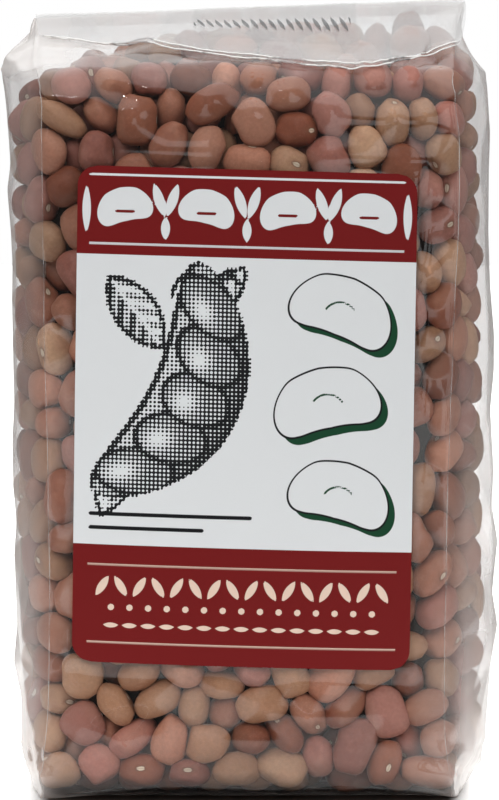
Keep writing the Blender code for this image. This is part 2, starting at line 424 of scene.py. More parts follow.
def mesh_object(name, verts, faces, smooth=True, sharp=None):
    """faces is an array of quads (n, 4) or triangles (n, 3), or a list of such arrays."""
    groups = faces if isinstance(faces, list) else [faces]
    mesh = bpy.data.meshes.new(name)
    verts = np.asarray(verts, np.float32)
    mesh.vertices.add(len(verts))
    mesh.vertices.foreach_set("co", (verts * MM).ravel())
    loops = np.concatenate([g.ravel() for g in groups]).astype(np.int32)
    sizes = np.concatenate([np.full(len(g), g.shape[1]) for g in groups]).astype(np.int32)
    mesh.loops.add(len(loops))
    mesh.loops.foreach_set("vertex_index", loops)
    mesh.polygons.add(len(sizes))
    mesh.polygons.foreach_set("loop_start", np.concatenate([[0], np.cumsum(sizes)[:-1]]).astype(np.int32))
    mesh.update(calc_edges=True)
    mesh.validate()
    if smooth:
        mesh.shade_smooth()
    if sharp:
        mesh.set_sharp_from_angle(angle=math.radians(sharp))
    obj = bpy.data.objects.new(name, mesh)
    bpy.context.scene.collection.objects.link(obj)
    return obj


def attribute(obj, name, kind, values, domain="POINT"):
    layer = obj.data.attributes.new(name, kind, domain)
    key = "vector" if kind == "FLOAT_VECTOR" else "value"
    layer.data.foreach_set(key, np.asarray(values, np.float32).ravel())


# ------------------------------------------------------------------ the shape of one bean


def bean_template(rings, segments):
    """Unit directions with a pole at the bean's eye (+Z), rings closer together round the eye, and the faces."""
    t = np.linspace(0, 1, rings + 1)[1:-1]
    theta = math.pi * (0.72 * t + 0.28 * t**1.9)
    theta = np.concatenate([[0.07, 0.15], theta[theta > 0.2]])
    phi = 2 * math.pi * np.arange(segments) / segments
    st, ct = np.sin(theta)[:, None], np.cos(theta)[:, None]
    ring = np.stack([st * np.cos(phi), st * np.sin(phi), ct + 0 * phi], -1).reshape(-1, 3)
    dirs = np.concatenate([[(0, 0, 1)], ring, [(0, 0, -1)]])
    count = len(theta)
    j = np.arange(segments)
    k = (j + 1) % segments
    quads = []
    for i in range(count - 1):
        a = 1 + i * segments
        b = a + segments
        quads.append(np.stack([a + j, b + j, b + k, a + k], -1))
    last = 1 + (count - 1) * segments
    tris = np.concatenate(
        [np.stack([0 * j, 1 + j, 1 + k], -1), np.stack([0 * j + len(dirs) - 1, last + k, last + j], -1)]
    )
    return dirs, np.concatenate(quads), tris


def bean_shapes(dirs, sizes, seed):
    """Local points in mm of each bean: puffy, straighter at the eye, pressed flat where it met its neighbours."""
    rng = np.random.default_rng(seed)
    n = len(sizes)
    d = dirs[None]
    p = rng.uniform(2.0, 2.8, n)[:, None]
    q = rng.uniform(2.0, 2.3, n)[:, None]
    flat = (np.abs(d[..., 0]) ** p + np.abs(d[..., 2]) ** p) ** (q / p) + np.abs(d[..., 1]) ** q
    r = flat ** (-1 / q)
    half = sizes[:, None, :] / 2
    pts = np.stack([d[..., 0] * r * half[..., 0], d[..., 1] * r * half[..., 2], d[..., 2] * r * half[..., 1]], -1)
    # one end fuller than the other, and a slight bend round the eye
    skew = rng.normal(0, 0.09, n)[:, None]
    pts[..., 2] *= 1 + skew * pts[..., 0] / half[..., 0]
    pts[..., 1] *= 1 + 0.7 * skew * pts[..., 0] / half[..., 0]
    # some taper to a blunt point at the ends
    taper = (rng.random(n) ** 2.5 * 0.22)[:, None] * (np.abs(pts[..., 0]) / half[..., 0]) ** 2
    pts[..., 2] *= 1 - taper
    pts[..., 1] *= 1 - 0.6 * taper
    bend = rng.uniform(0.01, 0.10, n)[:, None]
    pts[..., 2] += bend * half[..., 1] * (0.55 - (pts[..., 0] / half[..., 0]) ** 2)
    dent = rng.uniform(0.20, 0.55, n)[:, None]
    over = np.clip(pts[..., 2] / half[..., 1], 0, 1) ** 2
    pts[..., 2] -= dent * over * np.exp(-((pts[..., 0] / 1.6) ** 2) - (pts[..., 1] / 2.4) ** 2)
    # some have a broad hollow in one cheek
    hollow = np.where(rng.random(n) < 0.35, rng.uniform(0.2, 0.55, n), 0.0)[:, None]
    side = np.where(rng.random(n) < 0.5, -1.0, 1.0)[:, None]
    cx, cz = rng.normal(0, 1.0, (2, n, 1))
    cheek = np.clip(side * pts[..., 1] / half[..., 2], 0, 1) ** 1.5
    pts[..., 1] -= side * hollow * cheek * np.exp(-(((pts[..., 0] - cx) / 2.1) ** 2) - ((pts[..., 2] - cz) / 1.5) ** 2)
    # flats where the beans sat against each other in the pod, at the ends most of all
    for k in range(8):
        normal = rng.normal(0, 1, (n, 3)) * (1.0, 0.55, 0.9)
        if k < 2:
            normal = np.stack([np.full(n, 1.0 if k else -1.0), rng.normal(0, 0.22, n), rng.normal(0, 0.5, n)], -1)
        normal /= np.linalg.norm(normal, axis=1)[:, None]
        along = (pts * normal[:, None]).sum(-1)
        far = along.max(1)
        limit = far - rng.uniform(0.0, 0.74 if k < 2 else 0.50, n)
        over = along - limit[:, None]
        soft = 0.13
        cut = np.where(over > 12 * soft, over, soft * np.log1p(np.exp(np.clip(over / soft, -20, 12))))
        pts -= (cut - soft * math.log(2) * np.exp(-np.abs(over) / 0.4))[..., None] * normal[:, None] * (cut > 0.01)[..., None]
    # uneven surface
    for k in range(5):
        f = rng.normal(0, 0.45, (n, 3))
        ph = rng.uniform(0, 6.28, n)
        wave = np.sin((pts * f[:, None]).sum(-1) + ph[:, None]) * rng.uniform(0.02, 0.09, n)[:, None]
        pts += wave[..., None] * d
    return pts


def placed_beans(c, rot, local):
    return c[:, None, :] + np.einsum("nij,nkj->nki", rot, local)


def bean_piece(name, parts, c, rot, sizes, tones, material):
    """One kind's beans as one mesh. Each part is (which beans, rings, segments, seed): coarser inside the heap."""
    verts, faces, places, tone, shade = [], [], [], [], []
    count = 0
    for index, rings, segments, seed in parts:
        dirs, quads, tris = bean_template(rings, segments)
        local = bean_shapes(dirs, sizes[index], seed)
        n, m = len(index), len(dirs)
        offset = count + (np.arange(n) * m)[:, None, None]
        world = lean(placed_beans(c[index], rot[index], local)).reshape(-1, 3)
        world[:, 2] = np.maximum(world[:, 2], 0.34)
        verts.append(world)
        faces += [(quads[None] + offset).reshape(-1, 4), (tris[None] + offset).reshape(-1, 3)]
        places.append(local.reshape(-1, 3))
        tone.append(np.repeat(tones[index, 0], m))
        shade.append(np.repeat(tones[index, 1], m))
        count += n * m
    obj = mesh_object(name, np.concatenate(verts), faces)
    attribute(obj, "bean", "FLOAT_VECTOR", np.concatenate(places))
    attribute(obj, "tone", "FLOAT", np.concatenate(tone))
    attribute(obj, "shade", "FLOAT", np.concatenate(shade))
    obj.data.materials.append(material)
    return obj


# ------------------------------------------------------------------ materials


def new_material(name):
    mat = bpy.data.materials.new(name)
    mat.use_nodes = True
    tree = mat.node_tree
    shader = tree.nodes["Principled BSDF"]
    return mat, tree, shader


def node(tree, kind, **settings):
    n = tree.nodes.new(kind)
    for key, value in settings.items():
        if key in n.inputs:
            n.inputs[key].default_value = value
        else:
            setattr(n, key, value)
    return n


def link(tree, a, out, b, into):
    tree.links.new(a.outputs[out], b.inputs[into])


def srgb(r, g, b):
    """0..255 display colour as linear."""
    return tuple(c / 12.92 if c <= 0.04045 else ((c + 0.055) / 1.055) ** 2.4 for c in (r / 255, g / 255, b / 255)) + (1.0,)


def math_node(tree, op, a, b=None, clamp=False):
    n = tree.nodes.new("ShaderNodeMath")
    n.operation = op
    n.use_clamp = clamp
    for i, v in enumerate((a, b)):
        if v is None:
            continue
        if isinstance(v, (int, float)):
            n.inputs[i].default_value = v
        else:
            tree.links.new(v, n.inputs[i])
    return n.outputs[0]


def mix_colour(tree, factor, a, b, blend="MIX"):
    n = tree.nodes.new("ShaderNodeMix")
    n.data_type = "RGBA"
    n.blend_type = blend
    n.clamp_factor = True
    for i, v in ((0, factor), (6, a), (7, b)):
        if isinstance(v, (int, float)):
            n.inputs[i].default_value = v
        elif isinstance(v, tuple):
            n.inputs[i].default_value = v
        else:
            tree.links.new(v, n.inputs[i])
    return n.outputs[2]


def smooth_step(tree, value, low, high):
    n = tree.nodes.new("ShaderNodeMapRange")
    n.interpolation_type = "SMOOTHSTEP"
    tree.links.new(value, n.inputs["Value"])
    n.inputs["From Min"].default_value = low
    n.inputs["From Max"].default_value = high
    return n.outputs["Result"]


def bean_material(name, light, mid, deep, blotch):
    """A dried bean's matt skin: its own tone, soft mottling, a pale eye in a dark ring, faint wrinkles."""
    mat, tree, shader = new_material(name)
    place = node(tree, "ShaderNodeAttribute", attribute_name="bean")
    tone = node(tree, "ShaderNodeAttribute", attribute_name="tone").outputs["Fac"]
    shade = node(tree, "ShaderNodeAttribute", attribute_name="shade").outputs["Fac"]
    co = place.outputs["Vector"]

    # per-bean colour
    ramp = tree.nodes.new("ShaderNodeValToRGB")
    ramp.color_ramp.elements[0].color = deep
    ramp.color_ramp.elements[1].color = light
    ramp.color_ramp.elements[1].position = 0.94
    ramp.color_ramp.elements[0].position = 0.04
    middle = ramp.color_ramp.elements.new(0.5)
    middle.color = mid
    tree.links.new(tone, ramp.inputs["Fac"])
    colour = ramp.outputs["Color"]

    # mottling runs in the bean's own space, shifted by its tone so that no two are alike
    shift = node(tree, "ShaderNodeCombineXYZ")
    tree.links.new(math_node(tree, "MULTIPLY", tone, 91.0), shift.inputs["X"])
    tree.links.new(math_node(tree, "MULTIPLY", shade, 57.0), shift.inputs["Y"])
    moved = node(tree, "ShaderNodeVectorMath", operation="ADD")
    tree.links.new(co, moved.inputs[0])
    tree.links.new(shift.outputs[0], moved.inputs[1])
    vec = moved.outputs[0]
    broad = node(tree, "ShaderNodeTexNoise", Scale=0.28, Detail=2.0, Roughness=0.5)
    tree.links.new(vec, broad.inputs["Vector"])
    fine = node(tree, "ShaderNodeTexNoise", Scale=1.5, Detail=3.0, Roughness=0.6)
    tree.links.new(vec, fine.inputs["Vector"])
    patch = smooth_step(tree, broad.outputs["Fac"], 0.46, 0.68)
    colour = mix_colour(tree, math_node(tree, "MULTIPLY", patch, 0.50), colour, blotch)
    grain = smooth_step(tree, fine.outputs["Fac"], 0.30, 0.72)
    colour = mix_colour(
        tree, 1.0, colour, mix_colour(tree, grain, (0.90, 0.885, 0.875, 1), (1.06, 1.05, 1.04, 1)), "MULTIPLY"
    )
    # worn pale along the long edge, deeper round the eye
    axes = node(tree, "ShaderNodeSeparateXYZ")
    tree.links.new(co, axes.inputs[0])
    x, y, z = axes.outputs
    back = smooth_step(tree, z, -1.0, -4.0)
    colour = mix_colour(tree, math_node(tree, "MULTIPLY", back, 0.14), colour, (0.56, 0.36, 0.25, 1))
    ex = math_node(tree, "DIVIDE", x, 0.88)
    ey = math_node(tree, "DIVIDE", y, 0.46)
    wobble = math_node(tree, "MULTIPLY", math_node(tree, "SUBTRACT", fine.outputs["Fac"], 0.5), 0.7)
    eye = math_node(
        tree, "SQRT", math_node(tree, "ADD", math_node(tree, "MULTIPLY", ex, ex), math_node(tree, "MULTIPLY", ey, ey))
    )
    eye = math_node(tree, "ADD", eye, wobble)
    up = math_node(tree, "GREATER_THAN", z, 1.0)
    halo = math_node(tree, "MULTIPLY", math_node(tree, "SUBTRACT", 1.0, smooth_step(tree, eye, 1.1, 3.0)), up)
    colour = mix_colour(tree, math_node(tree, "MULTIPLY", halo, 0.34), colour, (0.20, 0.085, 0.045, 1))
    ring = math_node(tree, "MULTIPLY", math_node(tree, "SUBTRACT", 1.0, smooth_step(tree, eye, 0.98, 1.5)), up)
    colour = mix_colour(tree, math_node(tree, "MULTIPLY", ring, 0.50), colour, (0.13, 0.055, 0.032, 1))
    core = math_node(tree, "MULTIPLY", math_node(tree, "SUBTRACT", 1.0, smooth_step(tree, eye, 0.72, 1.04)), up)
    slit = smooth_step(tree, math_node(tree, "ABSOLUTE", y), 0.16, 0.04)
    pale = mix_colour(tree, math_node(tree, "MULTIPLY", slit, 0.5), (0.74, 0.64, 0.50, 1), (0.42, 0.30, 0.20, 1))
    colour = mix_colour(tree, math_node(tree, "MULTIPLY", core, 0.85), colour, pale)
    # a hair lighter or darker bean by bean; the beans at the upper left are also made darker here, as painted shade
    value = node(tree, "ShaderNodeHueSaturation")
    tree.links.new(colour, value.inputs["Color"])
    tree.links.new(math_node(tree, "ADD", math_node(tree, "MULTIPLY", shade, 0.36), 0.82), value.inputs["Value"])
    tree.links.new(value.outputs[0], shader.inputs["Base Color"])
    shader.inputs["Roughness"].default_value = 0.46
    shader.inputs["Specular IOR Level"].default_value = 0.36
    wrinkle = node(tree, "ShaderNodeTexNoise", Scale=0.9, Detail=4.0, Roughness=0.55)
    tree.links.new(vec, wrinkle.inputs["Vector"])
    bump = node(tree, "ShaderNodeBump", Strength=0.20, Distance=0.00035)
    height = math_node(
        tree,
        "SUBTRACT",
        math_node(tree, "ADD", wrinkle.outputs["Fac"], math_node(tree, "MULTIPLY", core, 0.5)),
        math_node(tree, "MULTIPLY", math_node(tree, "SUBTRACT", ring, core), 0.6),
    )
    tree.links.new(height, bump.inputs["Height"])
    tree.links.new(bump.outputs[0], shader.inputs["Normal"])
    return mat


BEAN_KINDS = (
    # name, share of the beans, light, middle, deep, blotch
    ("beans_pink", 0.36, (0.517, 0.252, 0.169, 1), (0.418, 0.179, 0.112, 1), (0.296, 0.104, 0.061, 1), (0.461, 0.220, 0.145, 1)),
    ("beans_mauve", 0.22, (0.470, 0.219, 0.173, 1), (0.370, 0.147, 0.112, 1), (0.257, 0.088, 0.061, 1), (0.419, 0.179, 0.141, 1)),
    ("beans_tan", 0.27, (0.504, 0.307, 0.192, 1), (0.416, 0.225, 0.130, 1), (0.311, 0.144, 0.076, 1), (0.437, 0.237, 0.151, 1)),
    ("beans_brown", 0.15, (0.329, 0.118, 0.064, 1), (0.233, 0.074, 0.039, 1), (0.158, 0.045, 0.023, 1), (0.284, 0.100, 0.058, 1)),
)


# ------------------------------------------------------------------ the film

FRONT_COLUMNS, SIDE_COLUMNS = 84, 54


def film_columns():
    f = np.arange(FRONT_COLUMNS) / FRONT_COLUMNS
    s = np.arange(SIDE_COLUMNS) / SIDE_COLUMNS
    return np.concatenate([f, 1 + s, 2 + f, 3 + s])


def film_rows(step=0.9):
    """Heights spaced evenly along the path up the front and over the roof."""
    z = Z_TABLE
    along = np.concatenate([[0], np.cumsum(np.hypot(np.diff(z), np.diff(FORM["front"])))])
    count = int(along[-1] / step)
    return np.interp(np.linspace(0, along[-1], count + 1), along, z)


def grid_normals(p):
    """Outward normals of a grid that is closed round its columns."""
    du = np.roll(p, -1, 1) - np.roll(p, 1, 1)
    dz = np.empty_like(p)
    dz[1:-1] = p[2:] - p[:-2]
    dz[0], dz[-1] = p[1] - p[0], p[-1] - p[-2]
    n = np.cross(du, dz)
    return n / np.maximum(np.linalg.norm(n, axis=-1, keepdims=True), 1e-9)


def bean_depths(points, normals, trees, out=4.0, reach=9.0):
    """How far in from each point of the form the first bean lies, along the normal; reach if none."""
    start = lean(points + normals * out) * MM
    end = lean(points - normals * reach) * MM
    way = end - start
    length = np.linalg.norm(way, axis=-1)
    way /= length[..., None]
    depth = np.full(points.shape[:-1], reach)
    flat_start, flat_way, flat_length = start.reshape(-1, 3), way.reshape(-1, 3), length.ravel()
    result = depth.ravel()
    for k in range(len(flat_start)):
        origin, direction, far = Vector(flat_start[k]), Vector(flat_way[k]), flat_length[k]
        best = far
        for tree in trees:
            hit = tree.ray_cast(origin, direction, best)
            if hit[0] is not None:
                best = hit[3]
        if best < far:
            result[k] = best / MM - out
    return depth


def film_surface(trees):
    """The film drawn over the beans: flat facets between the beans that touch it, creases at the corners."""
    rng = np.random.default_rng(23)
    u, z = film_columns(), film_rows()
    uu, zz = np.meshgrid(u, z)
    first = wall(uu, zz)
    zz = zz + np.clip(1 - zz / 7.0, 0, 1) ** 2 * edge_lift(first[..., 0], first[..., 1])
    base = wall(uu, zz)
    normal = grid_normals(base)
    depth = bean_depths(base, normal, trees)
    rows, columns = depth.shape

    # where the film touches: the nearest bean in each small neighbourhood
    lowest = depth.copy()
    for dj in range(-4, 5):
        for di in range(-4, 5):
            if dj * dj + di * di <= 17 and (di or dj):
                moved = np.roll(depth, di, 1)
                if dj:
                    moved = np.roll(moved, dj, 0)
                    if dj > 0:
                        moved[:dj] = 99
                    else:
                        moved[dj:] = 99
                lowest = np.minimum(lowest, moved)
    jj, ii = np.nonzero((depth <= lowest) & (depth < 1.5))
    offset = -depth[jj, ii] + 0.10
    keep = (jj > 1) & (jj < rows - 2)
    jj, ii, offset = jj[keep], ii[keep], offset[keep]
    crease_columns = (0, FRONT_COLUMNS, FRONT_COLUMNS + SIDE_COLUMNS, 2 * FRONT_COLUMNS + SIDE_COLUMNS)

    def crease_gap(i):
        return np.min([np.abs((i - c + columns // 2) % columns - columns // 2) for c in crease_columns], axis=0)

    keep = crease_gap(ii) > 2
    points = [(float(i), float(j), float(o)) for i, j, o in zip(ii[keep], jj[keep], offset[keep])]
    # unsupported film: its own crumple
    taken = np.array([(p[0], p[1]) for p in points])
    tries = rng.uniform((0, 3), (columns, rows - 3), (5200, 2))
    for i, j in np.round(tries):
        gap = np.abs(taken - (i, j))
        gap[:, 0] = np.minimum(gap[:, 0], columns - gap[:, 0])
        near = (gap**2).sum(1).min()
        limit = 7.2
        if near > limit**2 and crease_gap(np.array(i)) > 4:
            d = depth[int(j), int(i) % columns]
            loose = d > 3.0
            o = rng.uniform(-0.75, 0.35) if loose else max(-d + 0.15, rng.uniform(-0.8, -0.1))
            points.append((float(i), float(j), float(o)))
            taken = np.vstack([taken, (i, j)])
    # the creases themselves
    edges = []
    for c in crease_columns:
        previous = None
        stops = np.unique(np.concatenate([[0], np.arange(5, rows - 4, 8), [rows - 1]]))
        for j in stops:
            d = depth[j, c % columns]
            o = max(-0.15, -min(d, 5) + 0.1) + rng.uniform(-0.14, 0.14)
            if j in (0, rows - 1):
                o = 0.0
            points.append((float(c), float(j), o))
            if previous is not None:
                edges.append((previous, len(points) - 1))
            previous = len(points) - 1
    for j in (0, rows - 1):
        for i in range(0, columns, 7):
            if crease_gap(np.array(i)) > 3:
                points.append((float(i), float(j), 0.0))
    points = np.array(points)
    # the grid wraps round, so points near either end are repeated beyond the other
    wrap = 34
    low = np.nonzero(points[:, 0] < wrap)[0]
    high = np.nonzero(points[:, 0] >= columns - wrap)[0]
    index = np.arange(len(points))
    every = np.concatenate([points, points[low] + (columns, 0, 0), points[high] - (columns, 0, 0)])
    source = np.concatenate([index, low, high])
    again = {int(v): len(points) + k for k, v in enumerate(low)}
    extra = [(again[a], again[b]) for a, b in edges if a in again and b in again]
    result = delaunay_2d_cdt(
        [Vector((p[0], p[1])) for p in every], edges + extra, [], 0, 1e-4, True
    )
    verts, faces, origin = result[0], result[2], result[3]
    gi = np.round(every[:, 0]).astype(int) % columns
    gj = np.clip(np.round(every[:, 1]).astype(int), 0, rows - 1)
    corner = base[gj, gi] + normal[gj, gi] * every[:, 2:3]
    sheet = base.copy()
    for f in faces:
        ids = [origin[v][0] for v in f]
        a, b, c = (every[k, :2] for k in ids)
        x0, x1 = int(np.ceil(min(a[0], b[0], c[0]))), int(np.floor(max(a[0], b[0], c[0])))
        y0, y1 = int(np.ceil(min(a[1], b[1], c[1]))), int(np.floor(max(a[1], b[1], c[1])))
        x0, x1 = max(x0, 0), min(x1, columns - 1)
        y0, y1 = max(y0, 0), min(y1, rows - 1)
        if x1 < x0 or y1 < y0:
            continue
        gx, gy = np.meshgrid(np.arange(x0, x1 + 1), np.arange(y0, y1 + 1))
        det = (b[1] - c[1]) * (a[0] - c[0]) + (c[0] - b[0]) * (a[1] - c[1])
        if abs(det) < 1e-9:
            continue
        wa = ((b[1] - c[1]) * (gx - c[0]) + (c[0] - b[0]) * (gy - c[1])) / det
        wb = ((c[1] - a[1]) * (gx - c[0]) + (a[0] - c[0]) * (gy - c[1])) / det
        wc = 1 - wa - wb
        ok = (wa > -1e-6) & (wb > -1e-6) & (wc > -1e-6)
        if not ok.any():
            continue
        pos = wa[..., None] * corner[ids[0]] + wb[..., None] * corner[ids[1]] + wc[..., None] * corner[ids[2]]
        sheet[gy[ok], gx[ok]] = pos[ok]

    # as an offset from the form, kept just outside the beans, with soft ridges
    off = ((sheet - base) * normal).sum(-1)
    slide = sheet - base - off[..., None] * normal
    slide *= np.clip(1.5 / np.maximum(np.linalg.norm(slide, axis=-1, keepdims=True), 1e-6), 0, 1)
    need = -depth + 0.07
    off = np.maximum(off, need)
    weight = np.ones((1, columns))
    for c in crease_columns:
        weight[0, c % columns] = 0.15
    for _ in range(2):
        mean = (np.roll(off, 1, 1) + np.roll(off, -1, 1)) / 4
        mean[1:-1] += (off[2:] + off[:-2]) / 4
        mean[0] += off[0] / 2
        mean[-1] += off[-1] / 2
        off = np.maximum(off + (mean - off) * 0.45 * weight, need)
    off = np.clip(off, -2.2, 0.9)
    # the label holds the film smooth
    lu, lv = label_place(base[..., 0], base[..., 2])
    rim = np.maximum(np.abs(lu) - LABEL["w"] / 2, np.abs(lv) - LABEL["h"] / 2)
    hold = np.clip(1 - rim / 2.6, 0, 1) * (uu < 1)
    hold = hold * hold * (3 - 2 * hold)
    off = off * (1 - hold) + 0.42 * hold
    # crumpled folds at the foot's four corners
    away = np.clip((np.abs(base[..., 0]) - 34.0) / 5.0, 0, 1) * np.clip((11.0 - zz) / 6.0, 0, 1)
    a, b = base[..., 0] * 0.6 + zz, base[..., 1] * 0.7 - zz * 0.8
    off = off + away * 0.42 * (np.abs(np.sin(a * 0.55)) + np.abs(np.sin(b * 0.62 + 1.0)) + 0.5 * np.abs(np.sin(a * 1.3 - b)) - 1.2)
    off = np.maximum(off, np.minimum(need, 1.6))
    off[0] = off[-1] = 0
    # the film is a hair proud along the creases, where it is folded
    for c in crease_columns:
        for d, h in ((0, 0.16), (1, 0.03), (-1, 0.03)):
            off[2:-2, (c + d) % columns] += h
    return uu, zz, base, normal, off, depth


def edge_lift(x, y):
    """How far the lower edges of the front and back stand off the floor: most in the middle, none at the corners."""
    along = np.clip((39.0 - np.abs(x - 2.0)) / 24.0, 0, 1)
    return (2.3 - 0.4 * np.sin(x * 0.13 + 1.0)) * along**0.7 * np.clip((np.abs(y) - 17.0) / 5.0, 0, 1)


def film_object(uu, zz, base, normal, off, material):
    sheet = base + normal * off[..., None]
    sheet[..., 2] = np.maximum(sheet[..., 2], 0.0)
    rows, columns = off.shape
    world = lean(sheet)
    verts = [world.reshape(-1, 3)]
    j, i = np.meshgrid(np.arange(rows - 1), np.arange(columns), indexing="ij")
    k = (i + 1) % columns
    quads = [np.stack([j * columns + i, j * columns + k, (j + 1) * columns + k, (j + 1) * columns + i], -1).reshape(-1, 4)]
    # the block bottom: shrinking rings, a little off the floor inside its edge, with the ends' folds
    ring = world[0]
    count = rows * columns
    rings = 24
    cx = (ring[:, 0].max() + ring[:, 0].min()) / 2
    spine = np.clip(ring[:, 0] - cx, -19.0, 19.0) + cx
    middle = np.stack([spine, np.zeros_like(spine) + SHIFT[1], np.zeros_like(spine)], -1)
    previous = np.arange(columns)
    for r in range(1, rings + 1):
        t = r / rings
        pts = ring * (1 - t) + middle * t
        rise = 0.26 * np.clip((t - 0.25) / 0.75, 0, 1) + ring[:, 2] * np.clip(1 - t / 0.30, 0, 1) ** 2
        x, y = pts[:, 0] - cx, pts[:, 1] - SHIFT[1]
        fold = np.exp(-((np.abs(np.abs(x) - 17.5 - 0.9 * np.abs(y)) / 0.7) ** 2)) * 0.30
        fold += np.exp(-((y / 0.8) ** 2)) * 0.22 * (np.abs(x) < 18)
        pts[:, 2] = np.maximum(rise - fold * min(1, 3 * t) * 0.9 + 0.06 * np.sin(x * 0.6) * np.sin(y * 0.5), 0.02)
        verts.append(pts)
        now = count + np.arange(columns)
        count += columns
        nxt = np.roll(now, -1)
        quads.append(np.stack([previous, now, nxt, np.roll(previous, -1)], -1))
        previous = now
    cap = [np.arange(columns)[None, :] + (rows - 1) * columns, previous[::-1][None, :]]
    obj = mesh_object("film", np.concatenate(verts), quads + cap)
    bm = bmesh.new()
    bm.from_mesh(obj.data)
    bmesh.ops.remove_doubles(bm, verts=bm.verts, dist=1e-6)
    bmesh.ops.recalc_face_normals(bm, faces=bm.faces)
    bm.to_mesh(obj.data)
    bm.free()
    obj.data.shade_smooth()
    co = np.empty(len(obj.data.vertices) * 3)
    obj.data.vertices.foreach_get("co", co)
    x, y, z = co.reshape(-1, 3).T / MM
    # extra haze by region, on the side strips, the lower front towards the corners and the shoulders at the top, is a
    # painted reflection veil; at the foot's corners it is partly the crumpled film's own whiteness and partly painted
    # reflection
    corner = np.clip((np.abs(x - 0.4) - 36.0) / 5.0, 0, 1) * np.clip((9.0 - z) / 7.0, 0, 1)
    left = np.clip((-30.0 - x) / 6.0, 0, 1) * np.clip((z - 136.0 - 0.06 * (x + 40.0)) / 3.0, 0, 1)
    right = np.clip((x - 35.0) / 4.0, 0, 1) * np.clip((z - 139.0) / 3.0, 0, 1)
    foot = np.clip((6.0 - z) / 5.0, 0, 1) * np.clip((np.abs(x) - 20.0) / 12.0, 0, 1)
    below = np.clip((140.0 - z) / 3.0, 0, 1)
    low = np.clip((90.0 - z) / 70.0, 0, 1)
    side = ((0.06 + 0.19 * low) * np.clip((x - 38.5) / 3.0, 0, 1) + (0.07 + 0.18 * low) * np.clip((-38.5 - x) / 3.0, 0, 1)) * below
    edge = (0.11 * np.clip((x - 29.0) / 7.0, 0, 1) + 0.07 * np.clip((-31.0 - x) / 7.0, 0, 1)) * low
    attribute(obj, "haze_and_painted_veil", "FLOAT", 0.30 * corner + 0.34 * left + 0.20 * right + 0.02 * foot + side + edge)
    obj.data.materials.append(material)
    return obj


def film_material(name, haze, slant_haze, rough=0.045, waviness=0.10, layers=2.0, painted_rim_level=0.0, shade=(0.93, 0.935, 0.94, 1)):
    """Clear film: what is behind it, a mirror gloss that grows at a slant, and a milky haze that does too; extra milk
    from the haze attribute is a painted reflection veil, and along the silhouette the milk is a painted grey shade.
    """
    mat = bpy.data.materials.new(name)
    mat.use_nodes = True
    tree = mat.node_tree
    tree.nodes.clear()
    out = tree.nodes.new("ShaderNodeOutputMaterial")
    clear = node(tree, "ShaderNodeBsdfTransparent", Color=(0.985, 0.985, 0.985, 1))
    shine = node(tree, "ShaderNodeBsdfGlossy", Color=(1, 1, 1, 1), Roughness=rough)
    milk = node(tree, "ShaderNodeBsdfDiffuse")
    place = tree.nodes.new("ShaderNodeNewGeometry")
    wave = node(tree, "ShaderNodeTexNoise", Scale=95.0, Detail=2.0, Roughness=0.45)
    tree.links.new(place.outputs["Position"], wave.inputs["Vector"])
    bump = node(tree, "ShaderNodeBump", Strength=waviness, Distance=0.0009)
    tree.links.new(wave.outputs["Fac"], bump.inputs["Height"])
    tree.links.new(bump.outputs[0], shine.inputs["Normal"])
    fres = node(tree, "ShaderNodeFresnel", IOR=1.5)
    tree.links.new(bump.outputs[0], fres.inputs["Normal"])
    # both faces of a thin sheet mirror
    reflect = math_node(
        tree, "DIVIDE", math_node(tree, "MULTIPLY", fres.outputs[0], layers), math_node(tree, "ADD", fres.outputs[0], 1.0)
    )
    reflect = math_node(tree, "MINIMUM", reflect, 0.26)
    facing = node(tree, "ShaderNodeLayerWeight", Blend=0.5).outputs["Facing"]
    smear = node(tree, "ShaderNodeTexNoise", Scale=30.0, Detail=3.0, Roughness=0.55)
    tree.links.new(place.outputs["Position"], smear.inputs["Vector"])
    slant = math_node(tree, "MULTIPLY", smooth_step(tree, facing, 0.25, 0.75), slant_haze - haze)
    # the haze attribute's extra milk is a painted reflection veil
    haze_and_painted_veil = node(tree, "ShaderNodeAttribute", attribute_name="haze_and_painted_veil").outputs["Fac"]
    # painted shade along the silhouette: where the film is seen edge-on its milk thickens and turns grey
    along = smooth_step(tree, facing, 0.66, 0.94)
    painted_rim = math_node(tree, "MULTIPLY", along, painted_rim_level)
    if painted_rim_level:
        tree.links.new(mix_colour(tree, along, shade, (0.66, 0.625, 0.60, 1)), milk.inputs["Color"])
    else:
        milk.inputs["Color"].default_value = shade
    milky = math_node(tree, "ADD", math_node(tree, "ADD", math_node(tree, "ADD", slant, haze), haze_and_painted_veil), painted_rim)
    uneven = math_node(tree, "ADD", math_node(tree, "MULTIPLY", smear.outputs["Fac"], 1.0), 0.5)
    milky = math_node(tree, "MULTIPLY", milky, uneven)
    soft = tree.nodes.new("ShaderNodeMixShader")
    tree.links.new(math_node(tree, "MINIMUM", milky, 0.95), soft.inputs[0])
    tree.links.new(clear.outputs[0], soft.inputs[1])
    tree.links.new(milk.outputs[0], soft.inputs[2])
    mix = tree.nodes.new("ShaderNodeMixShader")
    tree.links.new(reflect, mix.inputs[0])
    tree.links.new(soft.outputs[0], mix.inputs[1])
    tree.links.new(shine.outputs[0], mix.inputs[2])
    tree.links.new(mix.outputs[0], out.inputs["Surface"])
    return mat


